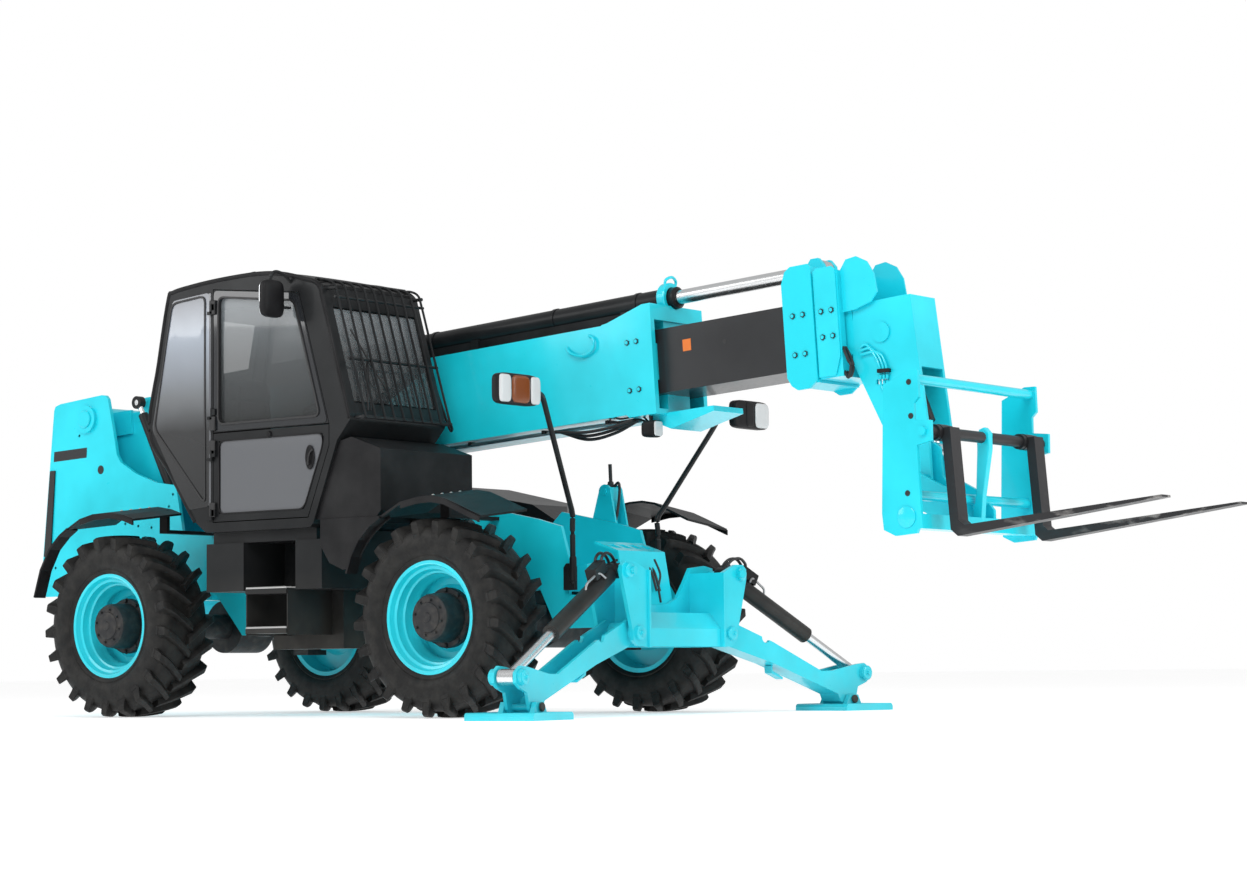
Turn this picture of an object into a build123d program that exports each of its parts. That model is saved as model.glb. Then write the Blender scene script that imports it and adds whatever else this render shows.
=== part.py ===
"""A telescopic handler: four-wheel chassis, side cab, four-section boom, forks and front stabilisers.

Units are millimetres. While it is modelled, +X points forward, +Y to the machine's left, +Z up,
and X = 0 lies half way between the axles, with the ground at Z = 0. At the end every piece is
moved along X so that the origin is the middle of the footprint of the whole machine.
"""
import math
import os

from build123d import *

os.makedirs("parts", exist_ok=True)

# ---------------------------------------------------------------- driving dimensions
WHEELBASE = 2750
TRACK = 1996               # between the middle planes of two wheels on one axle
TYRE_RADIUS = 585
TYRE_WIDTH = 436
LUGS = 21                  # tread bars in each of a tyre's two rows
LUG_HEIGHT = 36
LUG_WIDTH = 52             # along the tread
LUG_LEAD = 146             # how far a bar's inner end runs ahead of its outer end
RIM_RADIUS = 336           # over the rim's flanges
RIM_WIDTH = 350
FLANGE = 14                # thickness of the rim's flange
KINGPIN_HALF_SPAN = 720
STEER_LOCK = 32            # degrees each way

RAIL_OUTER = 400           # from the middle plane to the outer face of a chassis rail
PLATE = 25                 # thick fabricated plate
RAIL_BOTTOM = 520
RAIL_TOP = 900

BOOM_ANGLE = 3.65          # degrees nose-up, as stored
BOOM_Y = 100               # the boom lies a little left of the middle, beside the cab
PIVOT_X = -WHEELBASE / 2 - 1165
PIVOT_Z = 2040
PIVOT_ABOVE_AXIS = 240     # boom pivot above the boom's centre line
OUTER_WIDTH = 480
OUTER_UP = 265             # outer section, above and below its centre line
OUTER_DOWN = 300
OUTER_WALL = 14
OUTER_TAIL = -160          # rear end of the outer section, along the boom from the pivot
OUTER_NOSE = 4815
STAGE_2_WIDTH = 370
STAGE_2_HEIGHT = 386
STAGE_2_TAIL = 1000
STAGE_2_NOSE = OUTER_NOSE + 985
STAGE_3_WIDTH = 318
STAGE_3_HEIGHT = 334
STAGE_3_TAIL = STAGE_2_TAIL + 130
STAGE_3_NOSE = STAGE_2_NOSE + 210
STAGE_4_WIDTH = 266
STAGE_4_HEIGHT = 282
STAGE_4_TAIL = STAGE_3_TAIL + 140
STAGE_WALL = 12
RETRACT = -870             # travel of section 2 from rest, inwards and outwards
EXTEND_2 = 2700
EXTEND_3 = 3400            # travel of section 3, and of the head, which the chains carry along
PAD_GAP = 0.3              # sliding clearance under a wear pad
RUN_GAP = 6                # clearance between faces that move past each other
PIN_GAP = 0.3              # radial clearance of a hinge pin
SEAT_GAP = 0.3             # clearance where two pieces are bolted face to face

RAM_ABOVE_AXIS = 400       # extension cylinder on top of the boom
RAM_ROD_RADIUS = 43
RAM_BARREL_RADIUS = 68

HEAD_REACH = 426.5         # from the nose of the boom to the carriage pivot
HEAD_DROP = 941.4
CARRIAGE_HALF_WIDTH = 645
FORK_SHAFT_AHEAD = 345     # from the carriage pivot to the shaft that carries the forks
FORK_SHAFT_UP = 284
FORK_SPREAD = 455          # from the boom's plane to the middle of a fork
FORK_WIDTH = 100
FORK_THICKNESS = 55
FORK_LENGTH = 1220
FORK_DROP = 574            # from the shaft down to the underside of a fork
FORK_RAKE = 5              # degrees, tips up

STAB_X = 2235              # middle of the stabiliser frame, along the machine
STAB_DEPTH = 270
LEG_SWEEP = 9              # degrees that the legs point forward of straight out
LEG_LIFT = 78              # degrees from the ground to the folded leg
LEG_PIN_Y = 461
LEG_PIN_Z = 483
CYL_PIN_Y = 559
CYL_PIN_Z = 844
FOOT_PIN_Y = 1585          # these two are measured along the leg, before it is swept forward
FOOT_PIN_Z = 72
ROD_PIN_Y = 1728
ROD_PIN_Z = 236
STAB_EYE = 50              # half width of the eyes of a stabiliser cylinder
LEG_HALF = 80              # half width of a leg, over its two walls
LEG_WALL = 20
PAD_LENGTH = 440
PAD_WIDTH = 430
PAD_ROLL = 22              # radius of the rolled ends of a foot

RAIL_FRONT = STAB_X - STAB_DEPTH / 2 - SEAT_GAP    # the rails stop at the stabiliser frame

CAB_OUTER = -1160          # outer face of the cab, and its inner face beside the boom
CAB_INNER = -300
CAB_WALL = 45
CAB_BOTTOM = 1150
DOOR_GAP = 6
DOOR_REAR = -430
DOOR_SILL = 1215
DOOR_SPLIT = 1770            # height where the two halves of the door meet
DOOR_TOP = 2670
DOOR_HINGE_X = -434        # hinge line of both halves of the door, outside the rear edge
DOOR_HINGE_Y = CAB_OUTER - 12

COVER_HINGE_Y = 408        # hinge line of the engine cover, at its inner top edge
COVER_HINGE_Z = 1508

AXLE_Z = TYRE_RADIUS
FRONT_X = WHEELBASE / 2
REAR_X = -WHEELBASE / 2
WHEEL_Y = TRACK / 2
TAIL_X = PIVOT_X - 465             # rearmost face of the machine


# ---------------------------------------------------------------- helpers
def block(x0, x1, y0, y1, z0, z1):
    """A box between two corners."""
    return Pos((x0 + x1) / 2, (y0 + y1) / 2, (z0 + z1) / 2) * Box(abs(x1 - x0), abs(y1 - y0), abs(z1 - z0))


def side_plate(outline, y0, y1):
    """An (x, z) outline given a thickness along Y."""
    face = make_face(Polyline(*[(x, y0, z) for x, z in outline], close=True))
    return extrude(face, amount=y1 - y0, dir=(0, 1, 0))


def front_plate(outline, x0, x1):
    """A (y, z) outline given a thickness along X."""
    face = make_face(Polyline(*[(x0, y, z) for y, z in outline], close=True))
    return extrude(face, amount=x1 - x0, dir=(1, 0, 0))


def top_plate(outline, z0, z1):
    """An (x, y) outline given a thickness along Z."""
    face = make_face(Polyline(*[(x, y, z0) for x, y in outline], close=True))
    return extrude(face, amount=z1 - z0, dir=(0, 0, 1))


def bar(start, end, radius):
    """A round bar between two points."""
    a, b = Vector(*start), Vector(*end)
    plane = Plane(origin=a, z_dir=b - a)
    return extrude(plane * Circle(radius), amount=(b - a).length)


def tube(start, end, outer, inner):
    """A round tube between two points."""
    a, b = Vector(*start), Vector(*end)
    plane = Plane(origin=a, z_dir=b - a)
    return extrude(plane * (Circle(outer) - Circle(inner)), amount=(b - a).length)


def bar_y(x, z, y0, y1, radius):
    """A round bar along Y."""
    return bar((x, min(y0, y1), z), (x, max(y0, y1), z), radius)


def bar_x(y, z, x0, x1, radius):
    """A round bar along X."""
    return bar((min(x0, x1), y, z), (max(x0, x1), y, z), radius)


def fused(*pieces):
    """The pieces joined in one shape."""
    whole = pieces[0]
    for piece in pieces[1:]:
        whole = whole + piece
    return whole


def together(pieces):
    """Pieces that do not touch, kept as separate solids of one node."""
    return Compound([solid for piece in pieces for solid in piece.solids()])


def turned(x, y, degrees):
    """A point turned about the origin."""
    c, s = math.cos(math.radians(degrees)), math.sin(math.radians(degrees))
    return x * c - y * s, x * s + y * c


BOOM_FOOT_Z = PIVOT_Z - PIVOT_ABOVE_AXIS / math.cos(math.radians(BOOM_ANGLE))
BOOM = Pos(PIVOT_X, BOOM_Y, BOOM_FOOT_Z) * Rot(0, -BOOM_ANGLE, 0)


def boom_point(s, h):
    """The (x, z) place of a point s along the boom and h above its centre line."""
    dx, dz = turned(s, h, BOOM_ANGLE)
    return PIVOT_X + dx, BOOM_FOOT_Z + dz


def on_boom(x, z):
    """The (s, h) place of an (x, z) point in the boom's own directions."""
    return turned(x - PIVOT_X, z - BOOM_FOOT_Z, -BOOM_ANGLE)


PIVOT_S, PIVOT_H = on_boom(PIVOT_X, PIVOT_Z)


def box_section(s0, s1, width, up, down, wall):
    """A hollow box section along the boom, open at both ends."""
    outer = block(s0, s1, -width / 2, width / 2, -down, up)
    inner = block(s0 - 1, s1 + 1, -width / 2 + wall, width / 2 - wall, -down + wall, up - wall)
    return outer - inner


NODES = {}


def keep(name, shape):
    """Name a finished piece, in the modelling frame."""
    NODES[name] = shape


# ---------------------------------------------------------------- wheels, hubs and axles
def tread_bar():
    """One tread bar at the top of a tyre: a bent outline cut from a ring over the crown and shoulder."""
    half = TYRE_WIDTH / 2
    foot = TYRE_RADIUS - LUG_HEIGHT - 10
    section = [(foot, -12), (TYRE_RADIUS, -12), (TYRE_RADIUS, half - 46), (TYRE_RADIUS - 30, half),
               (TYRE_RADIUS - 92, half), (TYRE_RADIUS - 112, half - 20), (foot, half - 60)]
    ring = revolve(make_face(Polyline(*[(radius, y, 0) for radius, y in section], close=True)), axis=Axis.Y)
    back, front = -LUG_WIDTH / 2, LUG_WIDTH / 2
    outline = [(LUG_LEAD + back, -14), (LUG_LEAD + front, -14), (front + 44, half * 0.56), (front, half + 2),
               (back, half + 2), (back + 24, half * 0.56)]
    return ring & top_plate(outline, TYRE_RADIUS - 125, TYRE_RADIUS + 5)


def tyre_shape():
    """A traction tyre about the origin: a carcass and two staggered rows of bars, with a hollow for the rim."""
    half = TYRE_WIDTH / 2 - 11
    crown = TYRE_RADIUS - LUG_HEIGHT
    bead = RIM_RADIUS - 12
    seat = RIM_WIDTH / 2 - FLANGE - SEAT_GAP
    clear = RIM_RADIUS + SEAT_GAP
    flank = [(bead, seat), (clear, seat), (clear, RIM_WIDTH / 2), (RIM_RADIUS + 40, half - 12),
             (RIM_RADIUS + 105, half), (crown - 42, half - 14), (crown, half - 70)]
    section = flank + [(radius, -y) for radius, y in reversed(flank)]
    carcass = revolve(make_face(Polyline(*[(radius, y, 0) for radius, y in section], close=True)), axis=Axis.Y)
    bar_near = tread_bar()
    bar_far = mirror(bar_near, about=Plane.XZ)
    pitch = 360 / LUGS
    bars = [Rot(0, i * pitch, 0) * bar_near for i in range(LUGS)]
    bars += [Rot(0, (i + 0.5) * pitch, 0) * bar_far for i in range(LUGS)]
    return carcass.fuse(*bars)


def rim(x, side):
    """Dished rim with its outer planetary hub; the disc lies inboard of the wheel's middle."""
    half = RIM_WIDTH / 2
    bead = RIM_RADIUS - 12 - SEAT_GAP
    disc = -30
    profile = [
        (bead, -half + FLANGE), (RIM_RADIUS, -half + FLANGE), (RIM_RADIUS, -half), (RIM_RADIUS - 30, -half + 4),
        (RIM_RADIUS - 42, disc - 20), (190, disc - 20), (150, disc - 40), (60, disc - 40),
        (60, half + 4), (118, half + 4), (132, half - 10), (140, disc + 40), (200, disc + 2),
        (250, disc + 2), (RIM_RADIUS - 60, disc + 40), (RIM_RADIUS - 40, half - 70),
        (RIM_RADIUS - 26, half - 4), (RIM_RADIUS, half), (RIM_RADIUS, half - FLANGE), (bead, half - FLANGE),
    ]
    face = make_face(Polyline(*[(radius, side * y, 0) for radius, y in profile], close=True))
    cap = make_face(Polyline(*[(radius, side * y, 0) for radius, y in
                               [(0, half - 40), (61, half - 40), (61, half + 4), (0, half + 4)]], close=True))
    body = revolve(face, axis=Axis.Y) + revolve(cap, axis=Axis.Y)
    return Pos(x, side * WHEEL_Y, AXLE_Z) * body


HUB_INNER_Y = WHEEL_Y - 30 - 40      # inboard face of the wheel's hub, from the middle plane
YOKE_REACH = 150
AXLE_RADIUS = 82


def knuckle(x, side):
    """Swivel housing between the kingpins, with the stub that carries the wheel."""
    swivel = bar((x, side * KINGPIN_HALF_SPAN, AXLE_Z - YOKE_REACH),
                 (x, side * KINGPIN_HALF_SPAN, AXLE_Z + YOKE_REACH), 105)
    housing = bar_y(x, AXLE_Z, side * KINGPIN_HALF_SPAN, side * (HUB_INNER_Y - SEAT_GAP), 128)
    spindle = bar_y(x, AXLE_Z, side * (HUB_INNER_Y - 5), side * (HUB_INNER_Y + 150), 60 - PIN_GAP)
    arm = block(x - 190, x - 60, side * (KINGPIN_HALF_SPAN - 25), side * (KINGPIN_HALF_SPAN + 25),
                AXLE_Z - 60, AXLE_Z - 20)
    return fused(swivel, housing, spindle, arm)


def axle(x, sway):
    """Axle beam with its differential and the forked ends that hold the kingpins."""
    end_y = KINGPIN_HALF_SPAN - 135
    diff = bar_y(x, AXLE_Z, -150, 150, 175)
    beam = fused(bar_y(x, AXLE_Z, -end_y, end_y, AXLE_RADIUS), diff)
    nose = bar_x(0, AXLE_Z, x + sway * 120, x + sway * 300, 70)
    beam = beam + nose
    for side in (-1, 1):
        web = block(x - 70, x + 70, side * (end_y - 6), side * (end_y + 24), AXLE_Z - 190, AXLE_Z + 190)
        beam = beam + web
        for up in (-1, 1):
            ear_z = AXLE_Z + up * (YOKE_REACH + RUN_GAP)
            ear = block(x - 70, x + 70, side * end_y, side * (KINGPIN_HALF_SPAN + 40), ear_z, ear_z + up * 34)
            pin = bar((x, side * KINGPIN_HALF_SPAN, AXLE_Z + up * (YOKE_REACH + PIN_GAP)),
                      (x, side * KINGPIN_HALF_SPAN, ear_z + up * 20), 40)
            beam = fused(beam, ear, pin)
    return beam


def build_running_gear():
    """Axles, knuckles, rims and tyres at the four corners."""
    corners = [("front_right", FRONT_X, -1), ("front_left", FRONT_X, 1),
               ("rear_right", REAR_X, -1), ("rear_left", REAR_X, 1)]
    tyre = tyre_shape()
    for name, x, side in corners:
        keep("tyre_" + name, Pos(x, side * WHEEL_Y, AXLE_Z) * tyre)
        keep("rim_" + name, rim(x, side))
        keep("knuckle_" + name, knuckle(x, side))
    keep("front_axle", axle(FRONT_X, -1))
    keep("rear_axle", axle(REAR_X, 1))


# ---------------------------------------------------------------- chassis
TOWER_HALF = 430                     # half width of the tower over its two plates
TOWER_NEAR = BOOM_Y - TOWER_HALF     # outer faces of the two plates that carry the boom pivot
TOWER_FAR = BOOM_Y + TOWER_HALF
RAIL_REAR = TAIL_X + 305
RAIL_REAR_TOP = 860
RAIL_INNER = RAIL_OUTER - PLATE
ARCH_TOP = 790                       # underside of the rails over the axles
AXLE_SADDLE = AXLE_Z + 175 + SEAT_GAP
DECK_Z = RAIL_REAR_TOP + SEAT_GAP    # the tower's deck lies on the rails
DECK_TOP = DECK_Z + 30
PIVOT_PIN = 50
LIFT_BASE = (PIVOT_X + 240, 980)
COMP_BASE = (PIVOT_X + 740, 1500)
COMP_Y = BOOM_Y - 320


def build_chassis():
    """Two rails with a belly plate and cross members."""
    bend_x = REAR_X - 610
    outline = [(RAIL_REAR, 760), (RAIL_REAR, RAIL_REAR_TOP), (bend_x, RAIL_REAR_TOP), (REAR_X - 325, 1215),
               (REAR_X + 225, 1215), (REAR_X + 575, RAIL_TOP), (FRONT_X - 675, RAIL_TOP), (FRONT_X - 255, 1270),
               (FRONT_X + 185, 1180), (FRONT_X + 365, 1130), (FRONT_X + 425, 930), (FRONT_X + 425, 720),
               (RAIL_FRONT, 700), (RAIL_FRONT, RAIL_BOTTOM), (FRONT_X + 325, RAIL_BOTTOM), (FRONT_X + 185, ARCH_TOP),
               (FRONT_X - 185, ARCH_TOP), (FRONT_X - 425, RAIL_BOTTOM), (REAR_X + 425, RAIL_BOTTOM),
               (REAR_X + 185, ARCH_TOP), (REAR_X - 185, ARCH_TOP), (REAR_X - 375, RAIL_BOTTOM + 120)]
    frame = fused(*[side_plate(outline, side * RAIL_OUTER, side * RAIL_INNER) for side in (-1, 1)])
    across = RAIL_INNER + 1
    belly = block(REAR_X + 425, FRONT_X - 425, -across, across, RAIL_BOTTOM, RAIL_BOTTOM + 20)
    frame = frame + belly
    for x, z0, z1 in ((RAIL_REAR + 50, 765, 815), (REAR_X + 475, RAIL_BOTTOM, 840),
                      (FRONT_X - 595, RAIL_BOTTOM, 840), (FRONT_X + 395, 740, 900)):
        frame = frame + block(x - 30, x + 30, -across, across, z0, z1)
    for x in (FRONT_X, REAR_X):
        frame = frame + block(x - 120, x + 120, -across, across, AXLE_SADDLE, AXLE_SADDLE + 40)
    keep("chassis_frame", frame)


def build_tower():
    """The rear tower: two plates on a deck, with the boom pivot and the feet of two cylinders."""
    back = [(-420, 820), (-460, 1000), (-345, 2120), (-330, 2150), (-280, 2165), (149, 2200), (185, 2195),
            (210, 2170)]
    foot = [(890, 1540), (980, 1100), (840, 1000), (600, 970), (550, 820)]
    near_front = [(262, 1960), (302, 1778), (340, 1725), (490, 1640), (688, 1569)]
    far_front = [(470, 2235), (560, 2230), (590, 2190), (560, 1900), (650, 1700)]
    tower = block(PIVOT_X - 400, PIVOT_X + 540, TOWER_NEAR + PLATE - 1, TOWER_FAR - PLATE + 1, DECK_Z, DECK_TOP)
    for y0, front in ((TOWER_NEAR, near_front), (TOWER_FAR - PLATE, far_front)):
        outline = [(PIVOT_X + dx, z) for dx, z in back + front + foot]
        tower = tower + side_plate(outline, y0, y0 + PLATE)
    for y, sign in ((TOWER_NEAR, -1), (TOWER_FAR, 1)):
        tower = tower + bar_y(PIVOT_X, PIVOT_Z, y - sign * (PLATE + 60), y + sign * 22, 95)
    tower = tower + bar_y(PIVOT_X, PIVOT_Z, TOWER_NEAR - 10, TOWER_FAR + 10, PIVOT_PIN)
    base_x, base_z = LIFT_BASE
    for side in (-1, 1):
        y0 = BOOM_Y + side * (LIFT_EYE_HALF + RUN_GAP)
        ear = [(base_x - 90, DECK_TOP - 2), (base_x - 55, base_z + 15), (base_x - 32, base_z + 54),
               (base_x + 32, base_z + 54), (base_x + 55, base_z + 15), (base_x + 90, DECK_TOP - 2)]
        tower = tower + side_plate(ear, y0, y0 + side * 30)
    tower = tower + bar_y(base_x, base_z, BOOM_Y - 100, BOOM_Y + 100, 38)
    comp_x, comp_z = COMP_BASE
    tower = tower + bar_y(comp_x, comp_z, TOWER_NEAR + PLATE - 1, COMP_Y + 34, 20)
    keep("boom_tower", tower)

    back = [(TAIL_X + 45, DECK_TOP + SEAT_GAP), (TAIL_X, 1010), (TAIL_X + 105, 2090), (TAIL_X + 190, 2090),
            (TAIL_X + 190, 1440), (TAIL_X + 605, 1200), (TAIL_X + 605, DECK_TOP + SEAT_GAP)]
    weight = side_plate(back, TOWER_NEAR + PLATE + SEAT_GAP, TOWER_FAR - PLATE - SEAT_GAP)
    room = block(TAIL_X + 505, TAIL_X + 606, BOOM_Y - 110, BOOM_Y + 110, DECK_Z, 1300)
    keep("tail_weight", weight - room)


FENDER = 14                # thickness of a wheel arch
FENDER_INNER_Y = 800
FENDER_OUTER_Y = WHEEL_Y + TYRE_WIDTH / 2 + 6
FENDER_TILT = 7            # degrees that an arch falls from its inner edge to its outer edge
STRIP_Y = 1130             # low down, where a steered tyre swings, only the outer edge goes on
STAY_Z = AXLE_Z + TYRE_RADIUS + 12   # underside of the stays that hold the arches, just above the tyres
# undersides of the arches at their outer edges, from the axle, along X and Z: the narrow strip, then the deck
FRONT_STRIP = [(-612, 271), (-575, 372), (-515, 468), (-425, 548), (-345, 592)]
FRONT_DECK = [(-355, 588), (-181, 668), (-43, 691), (54, 695), (151, 679), (247, 640), (340, 600), (425, 564)]
REAR_STRIP = [(-660, 195), (-600, 370), (-515, 505), (-420, 585), (-345, 628)]
REAR_DECK = [(-355, 623), (-225, 681), (-100, 706), (60, 712), (180, 692), (272, 661)]
FRONT_STAY = -150            # the stays, ahead of the axle
REAR_STAY = 170


def bent_strip(points, y0, y1):
    """A strip of even thickness bent along (x, z) points, which are its underside."""
    upper = []
    for i, (x, z) in enumerate(points):
        before, after = points[max(i - 1, 0)], points[min(i + 1, len(points) - 1)]
        dx, dz = after[0] - before[0], after[1] - before[1]
        size = math.hypot(dx, dz)
        upper.append((x - dz / size * FENDER, z + dx / size * FENDER))
    return side_plate(list(points) + upper[::-1], y0, y1)


def height_at(points, x):
    """The height at x of a line through (x, z) points."""
    for (x0, z0), (x1, z1) in zip(points, points[1:]):
        if x0 <= x <= x1:
            return z0 + (z1 - z0) * (x - x0) / (x1 - x0)
    return points[-1][1]


def build_fenders():
    """Four plastic wheel arches, each held by a stay on the rail."""
    pieces = []
    for axle_x, strip, deck, stay_x in ((FRONT_X, FRONT_STRIP, FRONT_DECK, FRONT_STAY),
                                        (REAR_X, REAR_STRIP, REAR_DECK, REAR_STAY)):
        strip = [(axle_x + x, AXLE_Z + z) for x, z in strip]
        deck = [(axle_x + x, AXLE_Z + z) for x, z in deck]
        crown_z = max(z for _, z in deck)
        x0, x1 = axle_x + stay_x - 35, axle_x + stay_x + 35
        for side in (-1, 1):
            y0, y1 = sorted((side * FENDER_INNER_Y, side * FENDER_OUTER_Y))
            strip_0, strip_1 = sorted((side * STRIP_Y, side * FENDER_OUTER_Y))
            top = Pos(0, side * FENDER_OUTER_Y, crown_z) * Rot(-side * FENDER_TILT, 0, 0) \
                * Pos(0, -side * FENDER_OUTER_Y, -crown_z) * bent_strip(deck, y0, y1)
            stay = block(x0, x1, side * (RAIL_OUTER + SEAT_GAP), side * (FENDER_INNER_Y + 60), STAY_Z, STAY_Z + 22)
            rise = (FENDER_OUTER_Y - FENDER_INNER_Y - 60) * math.tan(math.radians(FENDER_TILT))
            post_z = height_at(deck, x0 + 35) + rise + FENDER / 2
            post = block(x0, x1, side * (FENDER_INNER_Y + 35), side * (FENDER_INNER_Y + 60), STAY_Z, post_z)
            lip = side_plate([(x, z + FENDER / 2) for x, z in deck[1:]] + [(x, z - 26) for x, z in deck[:0:-1]],
                             side * FENDER_OUTER_Y, side * (FENDER_OUTER_Y - 12))
            pieces.append(fused(top, bent_strip(strip, strip_0, strip_1), stay, post, lip))
    keep("fenders", together(pieces))


# ---------------------------------------------------------------- cab
CAB_REAR = -1031
PILLAR_FOOT = (746, 1795)    # front pillar, at the foot of the windscreen
PILLAR_TOP = (499, DOOR_TOP - 39)
CHIN = (629, 1667)           # under the windscreen the cab runs back to its floor
TOE = (419, CAB_BOTTOM)
CAB_SIDE = [(-497, CAB_BOTTOM), (-620, 1240), (CAB_REAR, 1814), (-854, DOOR_TOP - 23), (-817, DOOR_TOP + 30),
            (-70, DOOR_TOP + 85), PILLAR_TOP, PILLAR_FOOT, CHIN, TOE]
CAB_ROUND = 55               # radius of the cab's corners, seen from the side
PANE_ROUND = 45              # and of its windows
BASE_BOTTOM = 1080           # underside of the subframe that the cab stands on
DOOR_FRONT = 560
DOOR_THICK = 40
SASH = 48                    # width of the upper door's frame round its window
PANE = 8
DOOR_UPPER = [(DOOR_REAR, DOOR_SPLIT + 4), (DOOR_REAR, DOOR_TOP), (310, DOOR_TOP - 80), (DOOR_FRONT, DOOR_SPLIT + 4)]
DOOR_LOWER = [(DOOR_REAR, DOOR_SILL), (DOOR_REAR, DOOR_SPLIT - 4), (DOOR_FRONT, DOOR_SPLIT - 4),
              (DOOR_FRONT, DOOR_SPLIT - 130), (385, DOOR_SILL)]
LOWER_HINGES = (DOOR_SILL + 55, DOOR_SPLIT - 130)
UPPER_HINGES = (DOOR_SPLIT + 130, DOOR_TOP - 110)
PANEL_STEP = 6               # the lower door's panel is set in by this much
HINGE_PIN = 6                # radius of a door hinge's pin


def prism(outline, y0, y1, amount=0, radius=0):
    """An (x, z) outline with rounded corners, moved inwards, given a thickness along Y."""
    face = make_face(Polyline(*[(x, z) for x, z in outline], close=True))
    if radius:
        face = fillet(face.vertices(), radius)
    if amount:
        face = offset(face, amount=-amount)
    low, high = min(y0, y1), max(y0, y1)
    solid = extrude(face, amount=high - low, dir=(0, 0, 1))
    return Pos(0, high, 0) * Rot(90, 0, 0) * solid


def hinge_lug(z):
    """The frame's half of a door hinge: a lug with its pin."""
    lug = block(DOOR_HINGE_X - 36, DOOR_HINGE_X + 6, DOOR_HINGE_Y - 8, CAB_OUTER - 0.5, z - 45, z - 25)
    root = block(DOOR_HINGE_X - 36, DOOR_HINGE_X - 8, CAB_OUTER - 1, CAB_OUTER + 4, z - 45, z - 25)
    pin = bar((DOOR_HINGE_X, DOOR_HINGE_Y, z - 30), (DOOR_HINGE_X, DOOR_HINGE_Y, z + 25), HINGE_PIN)
    return fused(lug, root, pin)


def hinge_knuckle(z):
    """The door's half of a hinge: a leaf with its bored knuckle."""
    knuckle_bar = bar((DOOR_HINGE_X, DOOR_HINGE_Y, z - 25 + PIN_GAP), (DOOR_HINGE_X, DOOR_HINGE_Y, z + 25), 10)
    leaf = block(DOOR_HINGE_X, DOOR_HINGE_X + 34, DOOR_HINGE_Y - 8, CAB_OUTER - 1, z - 20, z + 20)
    root = block(DOOR_HINGE_X + 8, DOOR_HINGE_X + 34, CAB_OUTER - 2, CAB_OUTER + 2, z - 20, z + 20)
    hole = bar((DOOR_HINGE_X, DOOR_HINGE_Y, z - 30), (DOOR_HINGE_X, DOOR_HINGE_Y, z + 30), HINGE_PIN + PIN_GAP)
    return fused(knuckle_bar, leaf, root) - hole


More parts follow.
